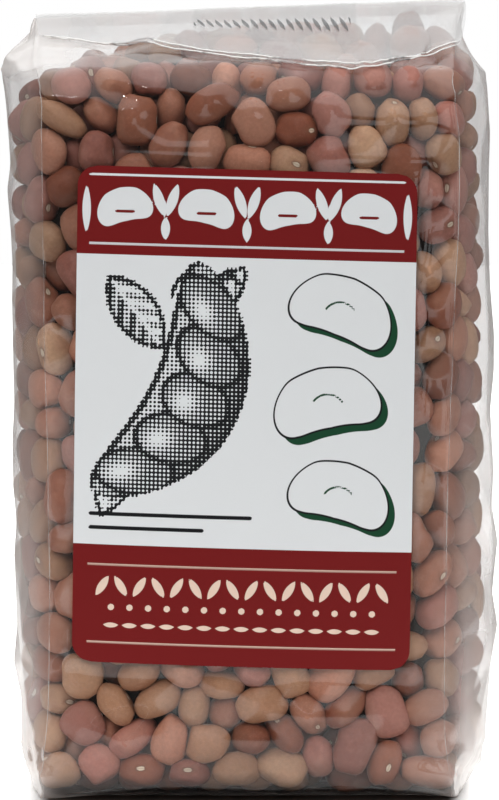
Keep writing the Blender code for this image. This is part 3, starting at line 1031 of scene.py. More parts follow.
def fold_material():
    """The folded and cut edges of the film: thin lines of painted highlight, a white milk that comes and goes."""
    mat = bpy.data.materials.new("film edge painted highlight")
    mat.use_nodes = True
    tree = mat.node_tree
    tree.nodes.clear()
    out = tree.nodes.new("ShaderNodeOutputMaterial")
    clear = node(tree, "ShaderNodeBsdfTransparent", Color=(0.97, 0.97, 0.97, 1))
    # painted highlight: the white milk stands in for the light the folds catch
    milk = node(tree, "ShaderNodeBsdfDiffuse", Color=(0.95, 0.94, 0.92, 1))
    shine = node(tree, "ShaderNodeBsdfGlossy", Color=(1, 1, 1, 1), Roughness=0.12)
    place = tree.nodes.new("ShaderNodeNewGeometry")
    patch = node(tree, "ShaderNodeTexNoise", Scale=110.0, Detail=3.0, Roughness=0.6)
    tree.links.new(place.outputs["Position"], patch.inputs["Vector"])
    strength = node(tree, "ShaderNodeAttribute", attribute_name="strength").outputs["Fac"]
    amount = math_node(tree, "MULTIPLY", smooth_step(tree, patch.outputs["Fac"], 0.30, 0.60), strength)
    soft = tree.nodes.new("ShaderNodeMixShader")
    tree.links.new(amount, soft.inputs[0])
    tree.links.new(clear.outputs[0], soft.inputs[1])
    tree.links.new(milk.outputs[0], soft.inputs[2])
    mix = tree.nodes.new("ShaderNodeMixShader")
    fres = node(tree, "ShaderNodeFresnel", IOR=1.5)
    tree.links.new(math_node(tree, "MINIMUM", math_node(tree, "MULTIPLY", fres.outputs[0], 1.6), 0.9), mix.inputs[0])
    tree.links.new(soft.outputs[0], mix.inputs[1])
    tree.links.new(shine.outputs[0], mix.inputs[2])
    tree.links.new(mix.outputs[0], out.inputs["Surface"])
    return mat


def folds_object(lines, material):
    """Thin closed tubes along lines of points: each is (points, radius, strength)."""
    verts, quads, caps, strengths = [], [], [], []
    count = 0
    sides = 6
    ang = 2 * math.pi * np.arange(sides) / sides
    for path, radius, strength in lines:
        path = np.asarray(path, float)
        m = len(path)
        t = np.gradient(path, axis=0)
        t /= np.maximum(np.linalg.norm(t, axis=1, keepdims=True), 1e-9)
        ref = np.where(np.abs(t[:, 1:2]) < 0.8, np.array([[0.0, 1.0, 0.0]]), np.array([[1.0, 0.0, 0.0]]))
        a = np.cross(t, ref)
        a /= np.linalg.norm(a, axis=1, keepdims=True)
        b = np.cross(t, a)
        r = np.broadcast_to(radius, (m,)) * np.minimum(1, 0.35 + np.minimum(np.arange(m), np.arange(m)[::-1]) * 0.22)
        ring = path[:, None] + (a[:, None] * np.cos(ang)[None, :, None] + b[:, None] * np.sin(ang)[None, :, None]) * r[:, None, None]
        verts.append(ring.reshape(-1, 3))
        strengths.append(np.repeat(np.broadcast_to(strength, (m,)), sides))
        j, i = np.meshgrid(np.arange(m - 1), np.arange(sides), indexing="ij")
        k = (i + 1) % sides
        quads.append(np.stack([j * sides + i, j * sides + k, (j + 1) * sides + k, (j + 1) * sides + i], -1).reshape(-1, 4) + count)
        caps.append(np.arange(sides)[::-1][None] + count)
        caps.append(np.arange(sides)[None] + (m - 1) * sides + count)
        count += m * sides
    obj = mesh_object("film_folds", np.concatenate(verts), [np.concatenate(quads), np.concatenate(caps)])
    bm = bmesh.new()
    bm.from_mesh(obj.data)
    bmesh.ops.recalc_face_normals(bm, faces=bm.faces)
    bm.to_mesh(obj.data)
    bm.free()
    attribute(obj, "strength", "FLOAT", np.concatenate(strengths))
    obj.data.materials.append(material)
    return obj


def core_object(material):
    """A smaller heap inside the visible beans, coloured dark as painted shade where the inner beans lie in shadow."""
    z = np.linspace(12.0, 132.0, 46)
    u = np.linspace(0, 4, 97)[:-1]
    uu, zz = np.meshgrid(u, z)
    p = wall(uu, np.clip(zz, 4, 130))
    end = np.clip(np.minimum(zz - 12.0, 132.0 - zz) / 6.0, 0, 1)
    end = np.sqrt(np.maximum(1 - (1 - end) ** 2, 0.0))
    mid = (form("front", 60) + form("back", 60)) / 2
    shrink_x, shrink_y = 0.845 * (0.72 + 0.28 * end), 0.56 * (0.6 + 0.4 * end)
    bumps = 1 + 0.03 * np.sin(uu * 13) * np.sin(zz * 0.7)
    p[..., 0] *= shrink_x * bumps
    p[..., 1] = mid + (p[..., 1] - mid) * shrink_y * bumps
    p[..., 2] = zz
    rows, columns = zz.shape
    j, i = np.meshgrid(np.arange(rows - 1), np.arange(columns), indexing="ij")
    k = (i + 1) % columns
    quads = np.stack([j * columns + i, j * columns + k, (j + 1) * columns + k, (j + 1) * columns + i], -1).reshape(-1, 4)
    caps = [np.arange(columns)[::-1][None, :], np.arange(columns)[None, :] + (rows - 1) * columns]
    obj = mesh_object("heap_core_painted_shade", lean(p).reshape(-1, 3), [quads] + caps)
    obj.data.materials.append(material)
    return obj


def shade_core_material():
    mat, tree, shader = new_material("heap core painted shade")
    place = tree.nodes.new("ShaderNodeNewGeometry")
    cells = node(tree, "ShaderNodeTexVoronoi", Scale=120.0)
    tree.links.new(place.outputs["Position"], cells.inputs["Vector"])
    # painted shade: near-black browns stand in for the shadowed beans deep in the heap
    shade = mix_colour(tree, smooth_step(tree, cells.outputs["Distance"], 0.1, 0.6), (0.115, 0.060, 0.045, 1), (0.018, 0.009, 0.007, 1))
    tree.links.new(shade, shader.inputs["Base Color"])
    shader.inputs["Roughness"].default_value = 0.8
    return mat


# ------------------------------------------------------------------ the folded top

# where the flap's free edge lies, by height on the roof
FLAP_EDGE = (
    (-46.0, 145.8),
    (-38.0, 144.8),
    (-24.0, 142.9),
    (0.0, 139.1),
    (19.5, 137.5),
    (22.0, 137.6),
    (31.5, 139.4),
    (34.0, 140.2),
    (46.0, 143.2),
)


def slab(name, top, thick, material):
    """A closed thin sheet whose upper face is the grid of points top, rows by columns."""
    rows, columns = top.shape[:2]
    du = np.gradient(top, axis=1)
    dv = np.gradient(top, axis=0)
    n = np.cross(du, dv)
    n /= np.maximum(np.linalg.norm(n, axis=-1, keepdims=True), 1e-9)
    under = top - n * thick
    count = rows * columns
    j, i = np.meshgrid(np.arange(rows - 1), np.arange(columns - 1), indexing="ij")
    quad = np.stack([j * columns + i, j * columns + i + 1, (j + 1) * columns + i + 1, (j + 1) * columns + i], -1).reshape(-1, 4)
    rim = np.concatenate(
        [
            np.arange(columns),
            np.arange(1, rows) * columns + columns - 1,
            (rows - 1) * columns + np.arange(columns - 2, -1, -1),
            np.arange(rows - 2, 0, -1) * columns,
        ]
    )
    nxt = np.roll(rim, -1)
    side = np.stack([rim, rim + count, nxt + count, nxt], -1)
    obj = mesh_object(name, np.concatenate([top.reshape(-1, 3), under.reshape(-1, 3)]), np.concatenate([quad, quad[:, ::-1] + count, side]))
    bm = bmesh.new()
    bm.from_mesh(obj.data)
    bmesh.ops.recalc_face_normals(bm, faces=bm.faces)
    bm.to_mesh(obj.data)
    bm.free()
    obj.data.shade_smooth()
    obj.data.set_sharp_from_angle(angle=math.radians(50))
    obj.data.materials.append(material)
    return obj


def front_at(x, z, side=0):
    """The form's front (side 0) or back (side 2) panel at x and height z, with its outward normal."""
    cl, cr = form("cl", z), form("cr", z)
    x = np.clip(x, -cl + 0.05, cr - 0.05)
    t = (x + cl) / (cl + cr)
    u = t if side == 0 else 3 - t
    e = 0.004
    p = wall(u, z)
    du = wall(u + e, z) - wall(u - e, z)
    hi, lo = np.minimum(z + 0.25, BAG_HEIGHT), np.minimum(z + 0.25, BAG_HEIGHT) - 0.5

    def at(h):
        c1, c2 = form("cl", h), form("cr", h)
        tt = (np.clip(x, -c1 + 0.05, c2 - 0.05) + c1) / (c1 + c2)
        return wall(tt if side == 0 else 3 - tt, h)

    dz = at(hi) - at(lo)
    n = np.cross(du, dz)
    n /= np.maximum(np.linalg.norm(n, axis=-1, keepdims=True), 1e-9)
    return p, n


def sample_grid(grid, i, j):
    """Bilinear sample of a grid closed round its columns."""
    rows, columns = grid.shape
    i = np.mod(i, columns)
    j = np.clip(j, 0, rows - 1.001)
    i0, j0 = np.floor(i).astype(int) % columns, np.floor(j).astype(int)
    fi, fj = i - np.floor(i), j - j0
    i1, j1 = (i0 + 1) % columns, j0 + 1
    return (grid[j0, i0] * (1 - fi) + grid[j0, i1] * fi) * (1 - fj) + (grid[j1, i0] * (1 - fi) + grid[j1, i1] * fi) * fj


def spread(off, times, rounds):
    """Largest of the neighbours, a few times over, then evened out."""
    g = off.copy()

    def around(q):
        return [np.roll(q, 1, 1), np.roll(q, -1, 1), np.vstack([q[1:], q[-1:]]), np.vstack([q[:1], q[:-1]])]

    for _ in range(times):
        g = np.maximum.reduce([g] + around(g))
    for _ in range(rounds):
        g = sum(around(g)) / 4
    return g


def flap_sheets(shape):
    """Upper faces of the folded top's two sheets, and their free edges: up the back, over the fold, down the roof."""
    uu, zz, base, normal, off, depth = shape
    z_rows = film_rows()
    grown = spread(off, 2, 5)
    edge = np.array(FLAP_EDGE)
    sheets, edges = [], []
    columns = 190
    t = np.linspace(0, 1, columns)
    for k in range(2):
        rows = []
        for z, o in ((147.6, 0.16), (148.4, 0.20), (149.1, 0.24), (149.6, 0.28)):
            x = -42.0 + 83.6 * t
            p, n = front_at(x, np.full_like(x, z), 2)
            p = p.copy()
            p[:, 0] = x
            rows.append(p + n * (o + 0.22 * k))
        for y, up in ((12.9, 0.36), (12.2, 0.56), (11.4, 0.54)):
            x = -42.1 + 83.8 * t
            rows.append(np.stack([x, np.full_like(x, y), np.full_like(x, BAG_HEIGHT + up + 0.22 * k)], -1))
        steps = np.concatenate([np.linspace(0.015, 0.95, 50), [0.965, 0.98, 0.99, 1.0]])
        for s in steps:
            x = (-42.0 + 1.0 * s) + (83.7 - (2.9 - 0.5 * k) * s**2) * t
            apart = np.clip((x + 26) / 6, 0, 1) * (0.55 - 0.38 * np.exp(-(((x - 21.5) / 2.4) ** 2)) - 0.40 * np.exp(-(((x - 32.0) / 2.0) ** 2)))
            z_edge = monotone(x, edge[:, 0], edge[:, 1]) + k * apart
            z_edge += 0.05 * np.sin(x * 0.9 + k) + 0.04 * np.sin(x * 2.3 + 2 * k)
            z = BAG_HEIGHT - 0.15 + (z_edge - BAG_HEIGHT + 0.15) * s
            p, n = front_at(x, z)
            slip = np.clip(x, -form("cl", z), form("cr", z)) - x
            o = sample_grid(grown, (x + form("cl", z)) / (form("cl", z) + form("cr", z)) * FRONT_COLUMNS, np.interp(z, z_rows, np.arange(len(z_rows))))
            lift = 0.24 + 0.24 * k
            # soft buckles running down the flap, two pinches at its edge, a lifted corner at the left of the open part
            lift = lift + 0.16 * s * (1 + np.sin(x * 0.42 + 1.3 * k) * np.sin(x * 0.11 + 2.0))
            lift = lift + 0.10 * (1 + np.sin(x * 0.17 + s * 2.2 + k))
            lift = lift + 0.42 * np.exp(-(((x - 21.0 - 4 * (1 - s)) / 1.0) ** 2)) * s**2 + 0.38 * np.exp(-(((x - 32.0 - 6 * (1 - s)) / 1.0) ** 2)) * s**2
            lift = lift + 0.75 * np.exp(-(((x + 20.0) / 3.2) ** 2)) * s**5
            q = p + n * (np.maximum(o, -0.3) + lift)[:, None]
            q[:, 0] -= slip
            rows.append(q)
        sheet = lean(np.array(rows))
        sheets.append(sheet)
        edges.append(sheet[-1])
    return sheets, edges


def seal_sheet(flap_top, shape):
    """The clear strip: on the flap, over the fold, down the back wall."""
    uu, zz, base, normal, off, depth = shape
    columns = 44
    x = np.linspace(-11.1, 20.5, columns)
    z_rows = film_rows()
    # the flap's upper sheet read at these columns, rows from the roof back over the fold
    rows = []
    for row in flap_top[40:3:-1]:
        pts = np.stack([np.interp(x + SHIFT[0], row[:, 0], row[:, k]) for k in range(3)], -1)
        rows.append(pts)
    rows = rows[::-1]
    over = np.array(rows)
    down = []
    for z in np.linspace(147.4, 104.4, 48):
        p, n = front_at(x, np.full_like(x, z), 2)
        i = (3 - (x + form("cl", z)) / (form("cl", z) + form("cr", z)) - 2) * FRONT_COLUMNS + FRONT_COLUMNS + SIDE_COLUMNS
        o = sample_grid(off, i, np.full_like(x, np.interp(z, z_rows, np.arange(len(z_rows)))))
        blend = np.clip((147.4 - z) / 3.0, 0, 1)
        lift = 0.62 * (1 - blend) + 0.14 * blend
        down.append(lean(p + n * (o * blend + lift)[:, None]))
    path = np.concatenate([np.array(down)[::-1], over])
    # smooth the join, then stand a hair above what it sticks to
    for _ in range(3):
        path[1:-1] += (path[2:] + path[:-2] - 2 * path[1:-1]) * 0.22
    du, dv = np.gradient(path, axis=1), np.gradient(path, axis=0)
    n = np.cross(du, dv)
    n /= np.linalg.norm(n, axis=-1, keepdims=True)
    if n[:30, :, 1].mean() < 0:
        n = -n
        path = path[:, ::-1]
        n = n[:, ::-1]
    return path + n * 0.12


def seal_object(flap_top, shape):
    top = seal_sheet(flap_top, shape)
    rows, columns = top.shape[:2]
    obj = slab("seal", top, 0.06, seal_material())
    # along the strip, from its end on the flap
    step = np.linalg.norm(np.diff(top, axis=0), axis=-1).mean(1)
    along = np.concatenate([[0], np.cumsum(step)])
    front_last = top[-1, :, 1].mean() < top[0, :, 1].mean()
    along = along[-1] - along if front_last else along
    across = top[rows // 2, :, 0]
    a, b = np.meshgrid(across, along)
    place = np.stack([a.ravel(), b.ravel(), np.ones(a.size)], -1)
    attribute(obj, "place", "FLOAT_VECTOR", np.concatenate([place, place * (1, 1, 0)]))
    return obj


def seal_material():
    """The strip's clear film with a faint row of slanted grey leaves on the part over the flap."""
    mat = film_material("seal strip", 0.004, 0.01, rough=0.06, layers=0.12)
    tree = mat.node_tree
    out = next(n for n in tree.nodes if n.type == "OUTPUT_MATERIAL")
    under = out.inputs["Surface"].links[0].from_socket
    place = node(tree, "ShaderNodeAttribute", attribute_name="place")
    axes = node(tree, "ShaderNodeSeparateXYZ")
    tree.links.new(place.outputs["Vector"], axes.inputs[0])
    x, along, _ = axes.outputs
    pitch = 1.72
    cell = math_node(tree, "DIVIDE", math_node(tree, "ADD", x, 60.0), pitch)
    across = math_node(tree, "MULTIPLY", math_node(tree, "SUBTRACT", math_node(tree, "FRACT", cell), 0.5), pitch)
    v = math_node(tree, "SUBTRACT", along, 8.7)
    tall = math_node(tree, "DIVIDE", v, 3.0)
    half = math_node(tree, "MULTIPLY", math_node(tree, "SUBTRACT", 1.0, math_node(tree, "MULTIPLY", tall, tall)), 0.42)
    tilted = math_node(tree, "ADD", across, math_node(tree, "MULTIPLY", v, 0.26))
    mask = smooth_step(tree, math_node(tree, "SUBTRACT", half, math_node(tree, "ABSOLUTE", tilted)), -0.06, 0.06)
    inside_row = math_node(tree, "MULTIPLY", math_node(tree, "GREATER_THAN", x, -11.2), math_node(tree, "LESS_THAN", x, 19.6))
    mask = math_node(tree, "MULTIPLY", mask, inside_row)
    ink = node(tree, "ShaderNodeBsdfDiffuse", Color=(0.16, 0.165, 0.17, 1))
    mix = tree.nodes.new("ShaderNodeMixShader")
    tree.links.new(math_node(tree, "MULTIPLY", mask, 0.42), mix.inputs[0])
    tree.links.new(under, mix.inputs[1])
    tree.links.new(ink.outputs[0], mix.inputs[2])
    tree.links.new(mix.outputs[0], out.inputs["Surface"])
    return mat


def fold_lines(shape, edges):
    """Lines that catch the light: the creases at the bag's corners and the flap's free edges."""
    uu, zz, base, normal, off, depth = shape
    rng = np.random.default_rng(3)
    sheet = lean(base + normal * (off[..., None] + 0.03))
    lines = []
    rows = sheet.shape[0]
    # each line's strength sets how much painted highlight its tube carries
    for c in (0, FRONT_COLUMNS, FRONT_COLUMNS + SIDE_COLUMNS, 2 * FRONT_COLUMNS + SIDE_COLUMNS):
        lines.append((sheet[4 : rows - 34, c], 0.060, 0.42))
    for k, edge in enumerate(edges):
        lines.append((edge[2:-1] + (0, -0.02, 0.02), 0.170, 2.8))
    return lines


# ------------------------------------------------------------------ the label

HEAD, FOOT = 30.2, -24.4


def box_sdf(u, v, cu, cv, hw, hh, r=0.0):
    x, y = np.abs(u - cu) - hw + r, np.abs(v - cv) - hh + r
    return np.hypot(np.maximum(x, 0), np.maximum(y, 0)) + np.minimum(np.maximum(x, y), 0) - r


def turned(u, v, cu, cv, degrees):
    a = math.radians(degrees)
    x, y = u - cu, v - cv
    return x * math.cos(a) + y * math.sin(a), -x * math.sin(a) + y * math.cos(a)


def bean_sdf(u, v, cu, cv, degrees, size, plump=1.0):
    """A bean outline: a stroke bent round an arc, thicker in the middle."""
    x, y = turned(u, v, cu, cv, degrees)
    x, y = x / size, y / size
    bend = 0.22 * (1 - (x / 0.9) ** 2)
    d = np.hypot(np.maximum(np.abs(x) - 0.46, 0), y - bend * np.clip(1.6 - np.abs(x), 0, 1)) - (0.52 * plump - 0.06 * np.abs(x))
    return d * size * 0.93


def leaf_sdf(u, v, cu, cv, degrees, length, width):
    """A pointed leaf: where two discs overlap."""
    x, y = turned(u, v, cu, cv, degrees)
    h, w = length / 2, width / 2
    r = (h * h + w * w) / (2 * w)
    return np.maximum(np.hypot(x, y - (r - w)), np.hypot(x, y + (r - w))) - r


def line_sdf(u, v, a, b, r):
    a, b = np.array(a, float), np.array(b, float)
    d = b - a
    t = np.clip(((u - a[0]) * d[0] + (v - a[1]) * d[1]) / (d @ d), 0, 1)
    return np.hypot(u - a[0] - t * d[0], v - a[1] - t * d[1]) - r


def arc_sdf(u, v, cu, cv, radius, start, end, r):
    ang = np.degrees(np.arctan2(v - cv, u - cu)) % 360
    inside_arc = (ang >= start) & (ang <= end)
    d = np.abs(np.hypot(u - cu, v - cv) - radius) - r
    ends = [np.hypot(u - cu - radius * math.cos(math.radians(e)), v - cv - radius * math.sin(math.radians(e))) - r for e in (start, end)]
    return np.where(inside_arc, d, np.minimum(*ends))


def union(*ds):
    return np.minimum.reduce(ds)


def label_fields(u, v):
    """Signed distances of the print's shapes and the halftone's tone, at points of the label in mm."""
    # header: white beans between sprigs of leaves
    head = []
    for cu, turn in ((-22.8, 14), (-7.6, -12), (7.6, 12), (22.8, -14)):
        head.append(bean_sdf(u, v, cu, 38.5, turn, 5.3, 1.15))
    for cu in (-15.2, 0.0, 15.2):
        head.append(leaf_sdf(u, v, cu - 1.25, 40.6, 108, 6.6, 1.9))
        head.append(leaf_sdf(u, v, cu + 1.25, 40.6, 72, 6.6, 1.9))
        head.append(leaf_sdf(u, v, cu, 35.3, 90, 4.4, 1.7))
    for cu in (-30.0, 30.0):
        head.append(leaf_sdf(u, v, cu, 38.6, 90, 9.4, 1.6))
    cut = [line_sdf(u, v, (cu - 1.6, 38.3), (cu + 1.6, 38.3), 0.28) for cu in (-22.8, -7.6, 7.6, 22.8)]
    white = np.maximum(union(*head), -union(*cut))
    rules = union(box_sdf(u, v, 0, 45.1, 29.6, 0.22), box_sdf(u, v, 0, 32.2, 29.6, 0.22))
    white = np.minimum(white, rules)

    # panel: three outlined beans with a drop shadow, stacked at the right
    big = (
        (17.6, 19.4, -20, 10.7),
        (15.6, 2.0, 13, 11.0),
        (17.8, -15.2, -14, 10.4),
    )
    face = union(*[bean_sdf(u, v, *b) for b in big])
    shadow = union(*[bean_sdf(u - 1.25 * k, v + 1.25 * k, *b) for b in big for k in (0.0, 0.34, 0.67, 1.0)])
    seam = union(*[arc_sdf(u, v, cu, cv - 0.2, size * 0.30, 35, 145, 0.20) for cu, cv, turn, size in big])

    # panel: a long pod and two leaves in halftone dots, standing at the left
    tone = np.zeros_like(u)
    px, py = turned(u, v, -12.2, 4.6, 66)
    curve = 0.016 * px**2
    py = py - curve + 3.2
    half = 8.7 * np.sqrt(np.clip(1 - (np.abs(px) / 24.0) ** 2.6, 0, 1))
    pod = np.abs(py) - half
    body = np.clip(-pod / 2.4, 0, 1)
    tone = np.where(pod < 0, 0.30 + 0.58 * np.clip(0.5 - py / 16.0, 0, 1) ** 1.3, tone)
    tone = np.where((pod < 0) & (pod > -1.1), 0.93, tone)
    for k in range(5):
        bx = -17.0 + 8.5 * k
        d = np.hypot((px - bx) / 4.4, (py + 0.2) / 6.0)
        ball = np.clip(1 - d, 0, 1)
        shade = 0.70 - 0.74 * np.exp(-(((px - bx + 1.2) / 2.3) ** 2 + ((py - 1.7) / 2.4) ** 2))
        tone = np.where(d < 1, shade, tone)
        tone = np.where((d >= 1) & (d < 1.17) & (pod < 0), 0.96, tone)
    tone = np.where(pod < 0, tone, 0.0)
    for cu, cv, turn, length, width in ((-20.5, 19.5, 128, 17.5, 8.6), (-4.6, 23.4, 48, 13.5, 6.6), (-24.2, -12.0, 252, 15.0, 7.2)):
        leaf = leaf_sdf(u, v, cu, cv, turn, length, width)
        lx, ly = turned(u, v, cu, cv, turn)
        t = 0.42 + 0.34 * np.sin((np.abs(ly) * 1.0 + lx * 0.9) * 2.1) + 0.18 * np.sign(ly)
        t = np.where(np.abs(ly) < 0.42, 0.05, t)
        t = np.where(leaf > -0.75, 0.95, t)
        tone = np.where((leaf < 0) & (pod >= 0), np.clip(t, 0, 1), tone)
    stalk = union(line_sdf(u, v, (-1.6, 25.6), (-3.4, 27.6), 0.55), arc_sdf(u, v, -8.6, 22.4, 5.2, 40, 175, 0.42))
    tone = np.where((stalk < 0) & (pod >= 0), 0.95, tone)

    # plain rules and beads
    black = union(*[line_sdf(u, v, (-28.6, y), (-28.6 + w, y), 0.36) for y, w in ((-18.6, 30.0), (-21.2, 21.0))])
    beads = [np.hypot(u - x, v + 36.2) - 0.62 for x in np.arange(-24.5, 25, 3.5)]
    cream = union(
        box_sdf(u, v, 0, -28.2, 29.0, 0.20),
        box_sdf(u, v, 0, -42.9, 29.0, 0.20),
        *beads,
        *[leaf_sdf(u, v, x, -32.2, 90 + 32 * (1 if k % 2 else -1), 4.6, 1.5) for k, x in enumerate(np.arange(-26.2, 27, 3.5))],
        *[leaf_sdf(u, v, x, -39.6, 0, 3.0, 0.95) for x in np.arange(-24.5, 25, 3.5)],
    )
    return white, face, shadow, seam, tone, black, cream


def label_point(u, v, off):
    x = LABEL["x"] + u * math.cos(LABEL["row"]) - v * math.sin(LABEL["column"])
    z = LABEL["z"] + u * math.sin(LABEL["row"]) + v * math.cos(LABEL["column"])
    p, n = front_at(x, z)
    off = off + 0.10 * (np.sin(u * 0.16 + v * 0.05 + 0.4) * np.sin(v * 0.11 + 1.0)) ** 2 + 0.03 * np.sin(u * 0.5 - v * 0.21) ** 2
    return p + n * np.broadcast_to(off, u.shape)[..., None]


def label_object(material):
    """A thin stuck-on label: its face carries the print's distances, its corners are round, its edge has thickness."""
    w, h, r = LABEL["w"] / 2, LABEL["h"] / 2, LABEL["corner"]
    columns, rows = 161, 236
    a = np.linspace(-1, 1, columns)
    v = np.linspace(-h, h, rows)
    into = np.maximum(np.abs(v) - (h - r), 0)
    half = w - r + np.sqrt(np.maximum(r * r - into * into, 0.0))
    # rows close in towards the top and bottom so that the corner is round
    vv = np.repeat(v[:, None], columns, 1)
    uu = a[None, :] * half[:, None]
    top = label_point(uu, vv, 0.62)
    under = label_point(uu, vv, 0.48)
    count = rows * columns
    j, i = np.meshgrid(np.arange(rows - 1), np.arange(columns - 1), indexing="ij")
    quad = np.stack([j * columns + i, j * columns + i + 1, (j + 1) * columns + i + 1, (j + 1) * columns + i], -1).reshape(-1, 4)
    rim = np.concatenate(
        [
            np.arange(columns),
            np.arange(1, rows) * columns + columns - 1,
            (rows - 1) * columns + np.arange(columns - 2, -1, -1),
            np.arange(rows - 2, 0, -1) * columns,
        ]
    )
    nxt = np.roll(rim, -1)
    side = np.stack([rim, rim + count, nxt + count, nxt], -1)
    obj = mesh_object(
        "label",
        np.concatenate([lean(top).reshape(-1, 3), lean(under).reshape(-1, 3)]),
        np.concatenate([quad, quad[:, ::-1] + count, side]),
    )
    white, face, shadow, seam, tone, black, cream = (f.ravel() for f in label_fields(uu, vv))
    none = np.full(count, 9.0)
    place = np.stack([uu.ravel(), vv.ravel(), np.ones(count)], -1)
    attribute(obj, "place", "FLOAT_VECTOR", np.concatenate([place, np.tile((0, 0, 0), (count, 1))]))
    attribute(obj, "shapes_a", "FLOAT_VECTOR", np.concatenate([np.stack([white, face, shadow], -1), np.stack([none] * 3, -1)]))
    attribute(obj, "shapes_b", "FLOAT_VECTOR", np.concatenate([np.stack([seam, black, cream], -1), np.stack([none] * 3, -1)]))
    attribute(obj, "halftone", "FLOAT", np.concatenate([tone, np.zeros(count)]))
    obj.data.set_sharp_from_angle(angle=math.radians(50))
    obj.data.materials.append(material)
    return obj


def label_material():
    """Satin label stock: dark red bands and a white panel, with the shapes cut from their distances."""
    mat, tree, shader = new_material("label print")
    place = node(tree, "ShaderNodeAttribute", attribute_name="place")
    sep = node(tree, "ShaderNodeSeparateXYZ")
    tree.links.new(place.outputs["Vector"], sep.inputs[0])
    u, v, face_side = sep.outputs
    a = node(tree, "ShaderNodeSeparateXYZ")
    tree.links.new(node(tree, "ShaderNodeAttribute", attribute_name="shapes_a").outputs["Vector"], a.inputs[0])
    b = node(tree, "ShaderNodeSeparateXYZ")
    tree.links.new(node(tree, "ShaderNodeAttribute", attribute_name="shapes_b").outputs["Vector"], b.inputs[0])
    tone = node(tree, "ShaderNodeAttribute", attribute_name="halftone").outputs["Fac"]
    white, face, shadow = a.outputs
    seam, black, cream = b.outputs

    def under(value, edge=0.0, soft=0.05):
        return math_node(tree, "SUBTRACT", 1.0, smooth_step(tree, value, edge - soft, edge + soft))

    def both(x, y):
        return math_node(tree, "MULTIPLY", x, y)

    INK, GREEN, CREAM = srgb(23, 24, 26), srgb(23, 66, 43), srgb(230, 204, 186)
    # ink varies a little
    grain = node(tree, "ShaderNodeTexNoise", Scale=6.0, Detail=4.0, Roughness=0.6)
    tree.links.new(place.outputs["Vector"], grain.inputs["Vector"])
    red = mix_colour(tree, grain.outputs["Fac"], srgb(108, 21, 22), srgb(119, 26, 26))
    paper = mix_colour(tree, grain.outputs["Fac"], srgb(219, 222, 224), srgb(227, 229, 230))
    # halftone: dots on a square screen whose size follows the tone, holes past half
    pitch = 0.78
    cell = []
    for axis in (u, v):
        f = math_node(tree, "FRACT", math_node(tree, "ADD", math_node(tree, "DIVIDE", axis, pitch), 200.0))
        cell.append(math_node(tree, "SUBTRACT", f, 0.5))
    r2 = math_node(tree, "ADD", both(cell[0], cell[0]), both(cell[1], cell[1]))
    dist = math_node(tree, "SQRT", r2)
    # distance to the cell's corner, for the holes of the dark half
    cx = math_node(tree, "SUBTRACT", 0.5, math_node(tree, "ABSOLUTE", cell[0]))
    cy = math_node(tree, "SUBTRACT", 0.5, math_node(tree, "ABSOLUTE", cell[1]))
    corner = math_node(tree, "SQRT", math_node(tree, "ADD", both(cx, cx), both(cy, cy)))
    size = math_node(tree, "SQRT", math_node(tree, "DIVIDE", math_node(tree, "MINIMUM", tone, 0.5), math.pi))
    hole = math_node(tree, "SQRT", math_node(tree, "DIVIDE", math_node(tree, "SUBTRACT", 1.0, math_node(tree, "MAXIMUM", tone, 0.5)), math.pi))
    dot = under(math_node(tree, "SUBTRACT", dist, size), 0.0, 0.045)
    dark = smooth_step(tree, math_node(tree, "SUBTRACT", corner, hole), -0.045, 0.045)
    past = math_node(tree, "GREATER_THAN", tone, 0.5)
    some = math_node(tree, "GREATER_THAN", tone, 0.035)
    ink = both(some, math_node(tree, "ADD", both(past, dark), both(math_node(tree, "SUBTRACT", 1.0, past), dot)))
    panel = mix_colour(tree, ink, paper, INK)
    panel = mix_colour(tree, under(shadow, 0.0), panel, GREEN)
    panel = mix_colour(tree, under(face, 0.17), panel, INK)
    panel = mix_colour(tree, under(face, -0.17), panel, paper)
    panel = mix_colour(tree, both(under(seam, 0.0), under(face, -0.17)), panel, GREEN)
    panel = mix_colour(tree, under(black, 0.0), panel, INK)
    head = smooth_step(tree, v, HEAD - 0.04, HEAD + 0.04)
    foot = under(v, FOOT, 0.04)
    colour = mix_colour(tree, head, panel, mix_colour(tree, under(white, 0.0), red, paper))
    colour = mix_colour(tree, foot, colour, mix_colour(tree, under(cream, 0.0), red, CREAM))
    # the cut edge and the back are plain stock
    colour = mix_colour(tree, math_node(tree, "GREATER_THAN", face_side, 0.99), srgb(225, 224, 220), colour)
    tree.links.new(colour, shader.inputs["Base Color"])
    shader.inputs["Roughness"].default_value = 0.5
    shader.inputs["Specular IOR Level"].default_value = 0.18
    tooth = node(tree, "ShaderNodeTexNoise", Scale=2.4, Detail=3.0)
    tree.links.new(place.outputs["Vector"], tooth.inputs["Vector"])
    bump = node(tree, "ShaderNodeBump", Strength=0.05, Distance=0.0002)
    tree.links.new(tooth.outputs["Fac"], bump.inputs["Height"])
    tree.links.new(bump.outputs[0], shader.inputs["Normal"])
    return mat


# ------------------------------------------------------------------ camera, light, floor


def area_light(name, place, target, size, power, mirrored=False):
    light = bpy.data.lights.new(name, "AREA")
    light.shape = "RECTANGLE"
    light.size, light.size_y = size
    light.energy = power
    obj = bpy.data.objects.new(name, light)
    obj.location = place
    obj.rotation_euler = (Vector(target) - Vector(place)).to_track_quat("-Z", "Y").to_euler()
    obj.visible_camera = False
    obj.visible_glossy = mirrored
    bpy.context.scene.collection.objects.link(obj)
    return obj


